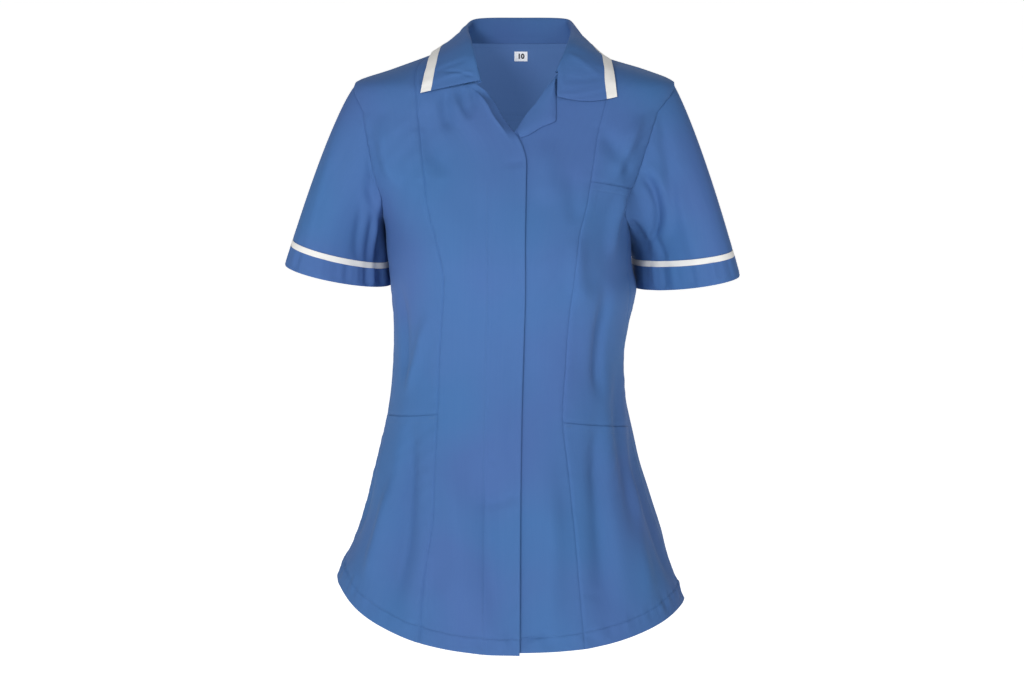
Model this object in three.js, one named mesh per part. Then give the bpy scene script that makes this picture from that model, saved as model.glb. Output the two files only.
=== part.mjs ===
// Revere collar tunic, filled out as it is worn: a short-sleeved healthcare tunic with princess
// seams, a concealed front placket, in-seam pockets and off-white trim.
// Millimetres. +Z is up, the front faces -Y and the wearer's left is +X. The origin lies midway
// between the two points where the shoulder seams meet the neck.

import * as THREE from 'three';

// ---- Driving dimensions ----
const CLOTH = 1.4; // wall of every single layer, with its turnings
const SEAM_GAP = 0.3; // between pieces sewn edge to edge, and between layers
const WAIST = -380; // level above which the rings are flat and below which the hem's curve spreads
const HEM = -720; // nominal hem level, where the hem's curve is full
const HEM_FRONT = -724;
const HEM_BACK = -700;
const HEM_SIDE_RIGHT = -653;
const HEM_SIDE_LEFT = -682;
const SQUARENESS = 0.1; // how much fuller than an ellipse each body ring is
const BUST_FULLNESS = 9; // how far each princess seam swells over the bust
const BUST_LEVEL = -232;
const BUST_ANGLE = 31;
const BUST_SPREAD = { angle: 20, level: 62 };
const UNDERLAP = 37; // the under front reaches this far past the over front's edge
const PLACKET_LIFT = 2.2; // the over front lies this far above the under front
const ROLL_IN = 9; // the over front's neck edge curls back by this much
const ROLL_WIDTH = 14;
const UNDERARM = -217; // level of the underarm points
const SHOULDER_POINT = -49; // level of the shoulder points
const YOKE_STATION = -97;
const BREAST_POCKET_STATION = -158;
const HIP_POCKET_STATION = -440;
// A hip pocket's mouth starts lower than its station by the lead and falls towards the side seam.
const POCKET_LEAD = { right: 1, left: 7.5 };
const POCKET_DROP = { right: 37, left: 32 };
const BREAST_POCKET_DEPTH = 130;
const HIP_POCKET_DEPTH = 150;
const POCKET_SINK = CLOTH + SEAM_GAP + 0.2; // a pocket's back lies this far inside its front
const SLEEVE_TRIM = 7;
const COLLAR_TRIM = 13;
const TRIM_THICKNESS = 0.8;
const TRIM_LIFT = 0.5; // the collar's tape lies this far above the fall
const COLLAR_LIFT = 1.6; // the fall's edge lies this far above the body
const FALL_LENGTH = 62; // typical length of the collar's fall, from its fold to its edge
// The collar section's curve handles. roll: length at the rolled fold, least and full. stand: share
// of the stand that leaves the neck straight. tuck, dip: the fold's inner handle. ease, bow: the
// edge's handle, back along the fall and out from the body.
const COLLAR_CURVE = {
  roll: { least: 3, full: 6.5, growth: 0.35 }, stand: 0.4, tuck: 0.6, dip: 0.2, ease: 0.35, bow: 2,
};
const REVERE_RISE = 3.2; // how far the revere's middle stands off the front
// The way a sleeve's lines run. out, down: their first direction. away: how much of it shows in the
// first step off the seam. start, growth: the first handle's share of the length at the underarm,
// and what it gains by the shoulder. finish: the last handle's share.
const SLEEVE_LEAN = { out: 0.25, down: 0.85, away: 0.6, start: 0.12, growth: 0.05, finish: 0.4 };
const NECK_DROP = 4; // the back neck seam lies this far below the shoulder-neck points
const LABEL = { width: 16, height: 12, thickness: 0.5, across: 3, top: -16, gap: 0.7 };

// ---- Colours ----
const BLUE = '#4f79b8';
const OFF_WHITE = '#ecebe6';

// ---- Tables ----
// A table is a list of rows with named columns. Its first column is the key, in rising order.
function table(columns, rows) {
  return rows.map((row) => Object.fromEntries(columns.map((name, i) => [name, row[i]])));
}

// Reads every column of a table at a key between its rows, along a smooth curve.
function read(rows, value) {
  const key = Object.keys(rows[0])[0];
  const last = rows.length - 1;
  const clamped = Math.min(Math.max(value, rows[0][key]), rows[last][key]);
  let i = 0;
  while (i < last - 1 && clamped > rows[i + 1][key]) i += 1;
  const slope = (name, n) => {
    const a = rows[Math.max(n - 1, 0)];
    const b = rows[Math.min(n + 1, last)];
    return (b[name] - a[name]) / (b[key] - a[key]);
  };
  const span = rows[i + 1][key] - rows[i][key];
  const t = (clamped - rows[i][key]) / span;
  const out = {};
  for (const name of Object.keys(rows[0])) {
    const h1 = t * t * (3 - 2 * t);
    const ease = t * (1 - t) * span;
    out[name] = rows[i][name] * (1 - h1) + rows[i + 1][name] * h1
      + ease * ((1 - t) * slope(name, i) - t * slope(name, i + 1));
  }
  return out;
}

// Body rings. middle: offset of the ring's centre to the wearer's left. half: half width.
// front, back: depth before and behind the side line. turn: degrees the front turns to the
// wearer's right.
const BODY = table(['level', 'middle', 'half', 'front', 'back', 'turn'], [
  [-720, -12, 232, 139, 126, 4.5],
  [-683, -14, 218, 137, 124, 4.5],
  [-655, -15, 208, 135, 122, 4.5],
  [-637, -14.5, 200, 134, 121, 4.5],
  [-604, -13, 187, 132, 118, 4.5],
  [-562, -13.5, 173, 130, 114, 4.5],
  [-508, -15, 159, 126, 108, 4.5],
  [-453, -13.6, 147, 121, 98, 4.5],
  [-417, -12.6, 142.5, 118, 91, 4.5],
  [-380, -11.5, 140.5, 118, 88, 4.5],
  [-340, -8.8, 143.5, 124, 91, 4.2],
  [-299, -6, 149.5, 133, 98, 3.5],
  [-270, -10, 148, 138, 103, 3],
  [-250, -11.8, 148.3, 140, 106, 2.6],
  [-217, -12.8, 149.8, 138, 109, 2],
  [-184, -14, 162, 132, 110, 1.4],
  [-151, -14, 176, 123, 109, 1],
  [-106, -11.5, 192, 106, 103, 0.5],
  [-84, -10, 196, 97, 97, 0.2],
  [-49, -4.5, 192.5, 82, 83, 0],
  [-34, -0.8, 154.8, 75, 77, 0],
  [-19, -5, 109, 70, 71, 0],
  [-10, -2, 90, 67, 67, 0],
  [0, 3, 78, 63, 62, 0],
]);

// Princess seams: distance across from the origin at each level, ending on the shoulder seam.
const PRINCESS = table(['level', 'right', 'left'], [
  [-720, -119.5, 79.5],
  [-640, -113.5, 72.5],
  [-572, -103.5, 66.5],
  [-498, -99.8, 58.5],
  [-440, -97.1, 52.5],
  [-376, -95, 56.3],
  [-333, -92.4, 59.2],
  [-275, -89, 65.2],
  [-250, -92.8, 67.2],
  [-217, -100.4, 72.8],
  [-188, -107.3, 80.4],
  [-154, -111.3, 86.4],
  [-105, -117.3, 94.3],
  [-60, -121.3, 105],
    [-30, -122.5, 108],
  [-19, -114.5, 104.6],
]);

// Inner edge of the over front (wearer's right) at each princess station: the placket edge, the
// neck edge and then the neck seam under the collar.
const OVER_EDGE = table(['station', 'across', 'level'], [
  [-720, 1.3, -720],
  [-572, 1.7, -572],
  [-440, 3.3, -440],
  [-340, 6, -340],
  [-290, 7.4, -290],
  [-217, 7.3, -221],
  [-165, 8.3, -154],
  [-142, 8.3, -131],
  [-126, 3.4, -114],
  [-112, -5, -98.5],
  [-94, -18.6, -80],
  [-79, -27.5, -64],
  [-66, -37.6, -53],
  [-53, -49.2, -45],
  [-40, -59.9, -33],
  [-28, -69.4, -18.5],
  [-19, -75, 0],
]);

// Inner edge of the under front (wearer's left): the hidden edge, the revere's roll line and
// then the neck seam.
const UNDER_EDGE = table(['station', 'across', 'level'], [
  [-720, 1.3 - UNDERLAP, -720],
  [-572, 1.7 - UNDERLAP, -572],
  [-440, 3.3 - UNDERLAP, -440],
  [-340, 6 - UNDERLAP, -340],
  [-290, 7.4 - UNDERLAP, -290],
  [-217, 7.3 - UNDERLAP, -221],
  [-155, -26.4, -142],
  [-132, -19.7, -120.5],
  [-118, -11, -107],
  [-107, -2.3, -96],
  [-90, 9.5, -78.5],
  [-76, 20, -67],
  [-58, 32.5, -50],
  [-44, 45, -34],
  [-33, 60, -22],
  [-25, 72.2, -11.5],
  [-19, 81, 0],
]);

// Armholes at each princess station: angle round the body and level, in front and behind. The
// first row is the underarm and the last the shoulder point.
const ARMHOLE_FRONT = table(['station', 'angle', 'level'], [
  [-217, 90, -217],
  [-200, 76, -206],
  [-178, 66.5, -188],
  [-154, 63.5, -168],
  [-125, 61.5, -140],
  [-97, 60, -112],
  [-72, 60.5, -88],
  [-52, 64, -74],
  [-33, 72, -61],
  [-24, 80, -53.5],
  [-19, 90, -49],
]);
const ARMHOLE_BACK = table(['station', 'angle', 'level'], [
  [-217, 90, -217],
  [-200, 98, -208],
  [-178, 106, -192],
  [-154, 112, -170],
  [-125, 115.5, -138],
  [-97, 116.5, -104],
  [-72, 115, -82],
  [-52, 111, -68],
  [-33, 103, -58],
  [-24, 96, -52],
  [-19, 90, -49],
]);

// The wearer's-left side seam swings forward below the arm.
const SIDE_SEAM_LEFT = table(['level', 'angle'], [
  [-720, 90],
  [-450, 89],
  [-380, 84],
  [-340, 77],
  [-299, 71],
  [-265, 74],
  [-217, 80],
]);

// Sleeve end rings. across, level: the ring's centre. radius: half its width. tilt: degrees its
// outer end is raised. depth: half its size front to back. forward: its centre's place in front
// of the side line. swing: how far its inner end is turned back. dip: how far its front sags.
const SLEEVE_RINGS = {
  right: {
    lean: 0.5,
    trim: {
      across: -214.9, level: -252, radius: 59.8, tilt: 15.6, depth: 56, forward: 4, swing: 26, dip: 2,
    },
    cuff: {
      across: -218.6, level: -281, radius: 65.3, tilt: 13.6, depth: 58, forward: 6, swing: 26, dip: 3,
    },
  },
  left: {
    lean: 0.27,
    trim: {
      across: 198.3, level: -256.2, radius: 59.8, tilt: 9.6, depth: 56, forward: 6, swing: 42, dip: 1,
    },
    cuff: {
      across: 204, level: -289.2, radius: 63.2, tilt: 11.2, depth: 58, forward: 8, swing: 42, dip: 2,
    },
  },
};

// Collar sections from the wearer's-right front end, round the back, to the wearer's-left front
// end. neck: the seam. fold: the rolled top. edge: the fall's outer edge by distance across and
// level, on the front or the back of the body.
const COLLAR = table(
  ['station', 'neckX', 'neckY', 'neckZ', 'foldX', 'foldY', 'foldZ', 'edgeX', 'edgeZ', 'side'], [
    [0, -48.5, -78.9, -44.2, -46.5, -85, -40.4, -116, -56.5, 1],
    [1, -57.7, -71.7, -34.1, -49.6, -78.3, -27.8, -113.2, -44.5, 1],
    [2, -67.6, -61.6, -20, -53.6, -67, -12.7, -109.8, -31.5, 1],
    [3, -72.5, -40, -5.6, -58.2, -38.4, 4.3, -104, -16, 1],
    [4, -74.3, -5, 0.5, -62.3, 4, 13.5, -93, -12.5, -1],
    [5, -71.9, 25.5, -0.9, -60.8, 36.3, 17.8, -80, -15.5, -1],
    [6, -51.1, 51.6, -2.6, -48.3, 59.3, 23.3, -46, -21, -1],
    [7, 0.9, 63.5, -3.5, 3, 69, 23.6, 3, -23, -1],
    [8, 54.3, 51.3, -2.6, 54.8, 59.3, 23.3, 54, -21, -1],
    [9, 76.5, 25, -0.9, 63, 35.3, 18.2, 86, -16.5, -1],
    [10, 80.2, -5, 0.5, 64.1, 2, 11.5, 99, -16.2, -1],
    [11, 75.8, -40.5, -5.4, 60.8, -37.8, 3.1, 108.8, -22, 1],
    [12, 69.4, -55.2, -12.9, 55.6, -59.6, -8.3, 112.3, -35, 1],
    [13, 58, -65.4, -22.3, 50.5, -71.2, -19.4, 114.5, -48, 1],
    [14, 45.8, -72.6, -32.2, 45.3, -78.9, -31.4, 116, -60.9, 1],
  ],
);

// The fall's wearer's-left front end drops straight to a corner before it runs out to its tip.
const COLLAR_END = { from: 12, across: 44.9, level: -60.3, share: 0.3, bow: 4.6, lift: 6 };

// ---- The body's surface ----
const radians = THREE.MathUtils.degToRad;

function smooth(low, high, value) {
  const t = Math.min(Math.max((value - low) / (high - low), 0), 1);
  return t * t * (3 - 2 * t);
}

function bell(offset) {
  return Math.exp(-offset * offset);
}

// The hem's level at an angle: lowest in front, higher at the sides.
function hemLevel(angle) {
  const side = Math.sin(radians(angle)) > 0 ? HEM_SIDE_LEFT : HEM_SIDE_RIGHT;
  const cosine = Math.cos(radians(angle));
  const middle = cosine > 0 ? HEM_FRONT : HEM_BACK;
  return side + (middle - side) * cosine ** 2;
}

// Spreads the hem's curve over the skirt: a nominal level becomes a real one.
function realLevel(angle, level) {
  if (level >= WAIST) return level;
  return WAIST + (level - WAIST) * ((hemLevel(angle) - WAIST) / (HEM - WAIST));
}

// A point of the plain ring surface. Angles run from 0 at the centre front through 90 at the
// wearer's left side and 180 at the centre back to 270 at the right side.
function ringPoint(angle, level) {
  const z = realLevel(angle, level);
  const ring = read(BODY, z);
  const s = Math.sin(radians(angle));
  const c = Math.cos(radians(angle));
  const bust = BUST_FULLNESS * bell((z - BUST_LEVEL) / BUST_SPREAD.level) * Math.max(c, 0)
    * (bell((angle - BUST_ANGLE) / BUST_SPREAD.angle) + bell((angle + BUST_ANGLE) / BUST_SPREAD.angle));
  const x = ring.half * s * (1 + SQUARENESS * c * c);
  const y = -(c > 0 ? ring.front + bust : ring.back) * c * (1 + SQUARENESS * s * s);
  const turn = radians(ring.turn);
  return new THREE.Vector3(
    ring.middle + x * Math.cos(turn) + y * Math.sin(turn),
    -x * Math.sin(turn) + y * Math.cos(turn),
    z,
  );
}

function bodyNormal(angle, level) {
  const step = 0.5;
  const below = Math.min(level, -1) - step;
  const across = ringPoint(angle + step, level).sub(ringPoint(angle - step, level));
  const up = ringPoint(angle, below + 2 * step).sub(ringPoint(angle, below));
  return across.cross(up).normalize();
}

// A point on the body moved outwards.
function onBody(angle, level, out = 0) {
  return ringPoint(angle, level).addScaledVector(bodyNormal(angle, level), out);
}

// The angle, in front or behind, at which the ring at a level passes a distance across.
function angleAt(across, level, side = 1) {
  let low = -90;
  let high = 90;
  for (let i = 0; i < 40; i += 1) {
    const middle = (low + high) / 2;
    const angle = side > 0 ? middle : 180 - middle;
    if (ringPoint(angle, level).x < across) low = middle;
    else high = middle;
  }
  return side > 0 ? low : 180 - low;
}

// ---- Seam lines, each a place { angle, level } at a princess station ----
function princess(side, station) {
  return { angle: angleAt(read(PRINCESS, station)[side], station), level: station };
}

function frontEdge(rows, station) {
  const row = read(rows, station);
  return { angle: angleAt(row.across, row.level), level: row.level };
}

// The side seam up to the underarm, then the armhole. Front angles are below 90.
function sideLine(side, rows, station) {
  const sign = side === 'left' ? 1 : -1;
  const seam = (level) => (side === 'left' ? read(SIDE_SEAM_LEFT, level).angle : 90);
  if (station <= rows[0].station) return { angle: sign * seam(station), level: station };
  const row = read(rows, station);
  const swing = (seam(rows[0].level) - 90) * (1 - smooth(rows[0].level, rows[3].level, row.level));
  return { angle: sign * (row.angle + swing), level: row.level };
}

// ---- Closed cloth walls ----
// Builds one closed wall from two grids of points, outer and inner. Closed tubes repeat no column.
function wall(outer, inner, isTube = false) {
  const columns = outer.length;
  const rows = outer[0].length;
  const position = [];
  for (const grid of [outer, inner]) {
    for (const column of grid) for (const p of column) position.push(p.x, p.y, p.z);
  }
  const at = (layer, i, j) => (layer * columns + (i % columns)) * rows + j;
  const index = [];
  const quad = (a, b, c, d) => index.push(a, b, c, a, c, d);
  const lastColumn = isTube ? columns : columns - 1;
  for (let i = 0; i < lastColumn; i += 1) {
    for (let j = 0; j < rows - 1; j += 1) {
      quad(at(0, i, j), at(0, i + 1, j), at(0, i + 1, j + 1), at(0, i, j + 1));
      quad(at(1, i, j), at(1, i, j + 1), at(1, i + 1, j + 1), at(1, i + 1, j));
    }
    quad(at(0, i, 0), at(1, i, 0), at(1, i + 1, 0), at(0, i + 1, 0));
    quad(at(0, i, rows - 1), at(0, i + 1, rows - 1), at(1, i + 1, rows - 1), at(1, i, rows - 1));
  }
  if (!isTube) {
    for (let j = 0; j < rows - 1; j += 1) {
      quad(at(0, 0, j), at(0, 0, j + 1), at(1, 0, j + 1), at(1, 0, j));
      const n = columns - 1;
      quad(at(0, n, j), at(1, n, j), at(1, n, j + 1), at(0, n, j + 1));
    }
  }
  const geometry = new THREE.BufferGeometry();
  geometry.setAttribute('position', new THREE.Float32BufferAttribute(position, 3));
  geometry.setIndex(index);
  return geometry;
}

// Draws each edge of a grid in by half the seam gap. edges names the sides that are trimmed.
function trim(grid, edges) {
  const half = SEAM_GAP / 2;
  const pull = (p, q) => p.addScaledVector(q.clone().sub(p).normalize(), half);
  const n = grid.length - 1;
  const m = grid[0].length - 1;
  if (edges.includes('start')) grid[0].forEach((p, j) => pull(p, grid[1][j]));
  if (edges.includes('end')) grid[n].forEach((p, j) => pull(p, grid[n - 1][j]));
  if (edges.includes('bottom')) grid.forEach((column) => pull(column[0], column[1]));
  if (edges.includes('top')) grid.forEach((column) => pull(column[m], column[m - 1]));
  return grid;
}

// A panel between two seam lines, each a function of the station, at the stations given.
function panel({ start, end, stations, columns, lift = () => 0, edges }) {
  const outer = [];
  const inner = [];
  for (let i = 0; i <= columns; i += 1) {
    const u = i / columns;
    const outerColumn = [];
    const innerColumn = [];
    for (const station of stations) {
      const a = start(station);
      const b = end(station);
      const angle = a.angle + (b.angle - a.angle) * u;
      const level = a.level + (b.level - a.level) * u;
      const out = lift(u, station, angle, level);
      const normal = bodyNormal(angle, level);
      const p = ringPoint(angle, level);
      outerColumn.push(p.clone().addScaledVector(normal, out));
      innerColumn.push(p.clone().addScaledVector(normal, out - CLOTH));
    }
    outer.push(outerColumn);
    inner.push(innerColumn);
  }
  return wall(trim(outer, edges), trim(inner, edges));
}

const ALL_EDGES = ['start', 'end', 'bottom', 'top'];

// Stations of the panels' rows, on the princess seam.
const SKIRT = [-720, -675, -625, -575, -530, -495, -472, -455, -440];
const TRUNK = [-440, -410, -380, -365, -350, -335, -320, -299, -275, -250, -217];
const CHEST = [
  -217, -200, -178, -158, -140, -125, -112, -97, -84, -72, -62, -52, -40, -30, -24, -21, -19];
const below = (list, limit) => list.filter((station) => station <= limit);
const above = (list, limit) => list.filter((station) => station >= limit);
const joined = (...lists) => [...new Set(lists.flat())].sort((a, b) => a - b);
const BODICE = joined(TRUNK, CHEST);
const WHOLE = joined(SKIRT, BODICE);

// ---- Fronts ----
// Rises over the under front beside the placket edge, and curls back along the neck edge.
function overFrontLift(u, station, angle, level) {
  const edge = frontEdge(OVER_EDGE, station);
  const distance = ringPoint(edge.angle, edge.level).distanceTo(ringPoint(angle, level));
  const lapped = PLACKET_LIFT * (1 - smooth(UNDERLAP + 3, UNDERLAP + 26, distance));
  const neck = smooth(-100, -78, edge.level) * (1 - smooth(-60, -46, edge.level));
  return lapped * (1 - smooth(-68, -46, edge.level))
    - ROLL_IN * neck * (1 - smooth(0, ROLL_WIDTH, distance)) ** 1.5;
}

function centreFrontRight() {
  return panel({
    start: (station) => princess('right', station),
    end: (station) => frontEdge(OVER_EDGE, station),
    stations: WHOLE,
    columns: 9,
    lift: overFrontLift,
    edges: ['start', 'top'],
  });
}

function centreFrontLeft() {
  return panel({
    start: (station) => frontEdge(UNDER_EDGE, station),
    end: (station) => princess('left', station),
    stations: WHOLE,
    columns: 8,
    edges: ['end', 'top'],
  });
}

// How far a pocket's back sinks inside its front below the pocket's mouth.
function pocketSink(mouth) {
  return (u, station) => -POCKET_SINK * (1 - smooth(mouth, mouth + 6, station));
}

// How far a hip pocket's mouth lies below its station: it slopes down to the side seam.
function mouthDrop(side, station, towardsSide) {
  const near = 1 - smooth(0, 120, Math.abs(station - HIP_POCKET_STATION));
  return (POCKET_LEAD[side] + POCKET_DROP[side] * towardsSide) * near;
}

function sideFront(side, stations, columns, lift) {
  const centre = (station) => princess(side, station - mouthDrop(side, station, 0));
  const outside = (station) => (
    sideLine(side, ARMHOLE_FRONT, station - mouthDrop(side, station, 1)));
  return panel({
    start: side === 'left' ? centre : outside,
    end: side === 'left' ? outside : centre,
    stations,
    columns,
    lift,
    edges: ALL_EDGES,
  });
}

// A pocket's back runs on below the mouth: the front's own stations, as far down as its depth.
function pocketBack(list, mouth, depth) {
  return [...above(below(list, mouth), mouth - depth), mouth + 6];
}

// ---- Back ----
function backLine(side) {
  return (station) => {
    const place = sideLine(side, ARMHOLE_BACK, station);
    return { angle: side === 'left' ? place.angle : 360 + place.angle, level: place.level };
  };
}

function back() {
  return panel({
    start: backLine('left'),
    end: backLine('right'),
    stations: joined(SKIRT, below(BODICE, YOKE_STATION)),
    columns: 18,
    edges: ALL_EDGES,
  });
}

// The yoke's top runs up one shoulder seam, round the back of the neck and down the other.
function backYoke() {
  const stations = above(CHEST, YOKE_STATION);
  const shoulderLevels = [-49, -44, -37, -31, -25, -19, -12, -6, 0];
  const neckSteps = 10;
  const neckPlace = (angle) => ({ angle, level: -NECK_DROP * Math.sin(radians(angle - 90)) });
  const top = [
    ...shoulderLevels.map((level) => ({ angle: 90, level })),
    ...Array.from({ length: neckSteps - 1 }, (_, i) => (
      neckPlace(90 + (180 * (i + 1)) / neckSteps))),
    ...[...shoulderLevels].reverse().map((level) => ({ angle: 270, level })),
  ];
  const bottom = (u) => {
    const a = backLine('left')(YOKE_STATION);
    const b = backLine('right')(YOKE_STATION);
    return { angle: a.angle + (b.angle - a.angle) * u, level: a.level + (b.level - a.level) * u };
  };
  const outer = [];
  const inner = [];
  const corners = [bottom(0), bottom(1), top[0], top[top.length - 1]];
  top.forEach((crown, i) => {
    const u = i / (top.length - 1);
    const outerColumn = [];
    const innerColumn = [];
    stations.forEach((station, j) => {
      const v = j / (stations.length - 1);
      const mix = (name) => {
        const left = backLine('left')(station)[name];
        const right = backLine('right')(station)[name];
        const across = left * (1 - u) + right * u;
        const upward = bottom(u)[name] * (1 - v) + crown[name] * v;
        const [c0, c1, c2, c3] = corners.map((corner) => corner[name]);
        return across + upward
          - ((1 - u) * (1 - v) * c0 + u * (1 - v) * c1 + (1 - u) * v * c2 + u * v * c3);
      };
      const angle = mix('angle');
      const level = mix('level');
      outerColumn.push(onBody(angle, level));
      innerColumn.push(onBody(angle, level, -CLOTH));
    });
    outer.push(outerColumn);
    inner.push(innerColumn);
  });
  return wall(trim(outer, ALL_EDGES), trim(inner, ALL_EDGES));
}

// ---- Revere: the under front's facing, turned out over the chest ----
// Its free edge at each place along the roll line, from the break up to the collar.
const REVERE = table(['along', 'rollX', 'rollZ', 'freeX', 'freeZ'], [
  [0, -3, -97, 1.9, -106.5],
  [1, 3.5, -87.5, 13, -102.3],
  [2, 9.7, -78.5, 27, -94.2],
  [2.75, 17.3, -69.8, 39.4, -89.5],
  [3, 20, -67, 43.2, -87],
  [3.2, 22.6, -63.6, 43.7, -83],
  [4, 32, -50.2, 43.8, -62],
  [5, 41.5, -38.5, 43.9, -41],
]);

function revere() {
  const outer = [];
  const inner = [];
  const rowsAlong = 10;
  const columns = 4;
  for (let i = 0; i <= columns; i += 1) {
    const u = i / columns;
    const outerColumn = [];
    const innerColumn = [];
    for (let j = 0; j <= rowsAlong; j += 1) {
      const row = read(REVERE, (j / rowsAlong) * REVERE[REVERE.length - 1].along);
      const across = row.rollX + (row.freeX - row.rollX) * u;
      const level = row.rollZ + (row.freeZ - row.rollZ) * u;
      const angle = angleAt(across, level);
      const out = SEAM_GAP + REVERE_RISE * Math.sin(0.75 * Math.PI * u);
      outerColumn.push(onBody(angle, level, out + CLOTH));
      innerColumn.push(onBody(angle, level, out));
    }
    outer.push(outerColumn);
    inner.push(innerColumn);
  }
  return wall(outer, inner);
}

// ---- Sleeves ----
// The end ring's point in the direction of an armhole point. turn runs from 0 at the outside
// through 90 in front and 180 beside the body.
function ringEnd(side, ring, turn) {
  const sign = side === 'left' ? 1 : -1;
  const outward = new THREE.Vector3(
    sign * Math.cos(radians(ring.tilt)), 0, Math.sin(radians(ring.tilt)));
  const c = Math.cos(radians(turn));
  const s = Math.sin(radians(turn));
  const point = new THREE.Vector3(ring.across, -ring.forward, ring.level);
  point.addScaledVector(outward, ring.radius * c);
  point.y -= ring.depth * s + ring.swing * c;
  point.z -= ring.dip * Math.max(s, 0);
  return point;
}

// Every line of the sleeve starts at an armhole point and ends on the cuff.
function sleeveLines(side) {
  const sign = side === 'left' ? 1 : -1;
  const count = CHEST.length - 1;
  const lines = [];
  for (let i = 0; i < 2 * count; i += 1) {
    const inFront = i < count;
    const station = CHEST[inFront ? count - i : i - count];
    const rows = inFront ? ARMHOLE_FRONT : ARMHOLE_BACK;
    const place = sideLine(side, rows, station);
    const seam = onBody(place.angle, place.level, 0);
    const bodyOut = bodyNormal(place.angle, place.level);
    const height = (place.level - UNDERARM) / (SHOULDER_POINT - UNDERARM);
    const turn = (inFront ? 1 : -1) * Math.acos(Math.min(Math.max(2 * height - 1, -1), 1)) * 180
      / Math.PI;
    lines.push({ seam, bodyOut, turn, height, sign });
  }
  return lines;
}

function sleeveGrid(side) {
  const rings = SLEEVE_RINGS[side];
  return sleeveLines(side).map(({ seam, bodyOut, turn, height, sign }) => {
    const trimPoint = ringEnd(side, rings.trim, turn);
    const cuffPoint = ringEnd(side, rings.cuff, turn);
    const down = cuffPoint.clone().sub(trimPoint).normalize();
    const lean = new THREE.Vector3(
      sign * (SLEEVE_LEAN.out + rings.lean * height), 0, -SLEEVE_LEAN.down).normalize();
    const away = lean.clone().multiplyScalar(SLEEVE_LEAN.away)
      .addScaledVector(bodyOut, 1 - height).normalize();
    const first = seam.clone().addScaledVector(away, SEAM_GAP);
    const length = first.distanceTo(trimPoint);
    const curve = new THREE.CubicBezierCurve3(
      first,
      first.clone().addScaledVector(
        lean, length * (SLEEVE_LEAN.start + SLEEVE_LEAN.growth * height)),
      trimPoint.clone().addScaledVector(down, -length * SLEEVE_LEAN.finish),
      trimPoint,
    );
    return { curve, trimPoint, cuffPoint, down };
  });
}

const SLEEVE_ROWS = 8;

function tube(side, pointsOf) {
  const outer = sleeveGrid(side).map(pointsOf);
  if (side === 'left') outer.reverse();
  const n = outer.length;
  const m = outer[0].length - 1;
  const inner = outer.map((column, i) => column.map((p, j) => {
    const across = outer[(i + 1) % n][j].clone().sub(outer[(i + n - 1) % n][j]);
    const along = column[Math.min(j + 1, m)].clone().sub(column[Math.max(j - 1, 0)]);
    return p.clone().addScaledVector(across.cross(along).normalize(), -CLOTH);
  }));
  return wall(outer, inner, true);
}

function sleeve(side) {
  return tube(side, ({ curve }) => Array.from({ length: SLEEVE_ROWS + 1 }, (_, j) => (
    curve.getPoint(1 - j / SLEEVE_ROWS))));
}

function sleeveTrim(side) {
  return tube(side, ({ trimPoint, down }) => [SLEEVE_TRIM, 0].map((distance) => (
    trimPoint.clone().addScaledVector(down, distance + SEAM_GAP))));
}

function cuff(side) {
  return tube(side, ({ trimPoint, cuffPoint }) => [1, 0.5, 0].map((t) => {
    const start = trimPoint.clone().lerp(cuffPoint,
      (SLEEVE_TRIM + 2 * SEAM_GAP) / trimPoint.distanceTo(cuffPoint));
    return start.lerp(cuffPoint, t);
  }));
}

// ---- Collar ----
const COLLAR_STATIONS = 2 * (COLLAR.length - 1);
const STAND_STEPS = 4;
const FALL_STEPS = 7;

// The collar's under face from the neck seam up the stand, over the fold and down the fall.
function collarSection(station, steps) {
  const row = read(COLLAR, station);
  const curve = COLLAR_CURVE;
  const neck = new THREE.Vector3(row.neckX, row.neckY, row.neckZ);
  const fold = new THREE.Vector3(row.foldX, row.foldY, row.foldZ);
  const front = COLLAR.findIndex((entry) => entry.side < 0) - 0.5;
  const rear = COLLAR.length - 1 - front;
  const side = station > front && station < rear ? -1 : 1;
  const angle = angleAt(row.edgeX, row.edgeZ, side);
  const edge = onBody(angle, row.edgeZ, COLLAR_LIFT);
  const outward = edge.clone().sub(fold).setZ(0).normalize();
  const rise = fold.clone().sub(neck);
  const roll = Math.min(curve.roll.full, curve.roll.least + rise.length() * curve.roll.growth);
  const drop = edge.clone().sub(fold);
  const stand = new THREE.CubicBezierCurve3(
    neck,
    neck.clone().addScaledVector(rise, curve.stand),
    fold.clone().addScaledVector(outward, -roll * curve.tuck).setZ(fold.z - roll * curve.dip),
    fold,
  );
  const fall = new THREE.CubicBezierCurve3(
    fold,
    fold.clone().addScaledVector(outward, roll),
    edge.clone().addScaledVector(drop, -curve.ease)
      .addScaledVector(bodyNormal(angle, row.edgeZ), curve.bow),
    edge,
  );
  const cut = smooth(COLLAR_END.from, COLLAR.length - 1, station);
  return steps.map((t) => (
    t < 0 ? stand.getPoint(1 + t) : fall.getPoint(t).lerp(collarEnd(row, t), cut)));
}

// The front end's own path: down from the fold to its corner, then out to the tip.
function collarEnd(row, t) {
  const { across, level, share, bow, lift } = COLLAR_END;
  const k = t < share ? t / share : (t - share) / (1 - share);
  const mix = (a, b) => a + (b - a) * k;
  const x = t < share ? mix(row.foldX, across) : mix(across, row.edgeX);
  const z = t < share ? mix(row.foldZ, level)
    : mix(level, row.edgeZ) - bow * Math.sin(Math.PI * k);
  return onBody(angleAt(x, z), z, COLLAR_LIFT + lift * (1 - t) ** 2);
}

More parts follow.
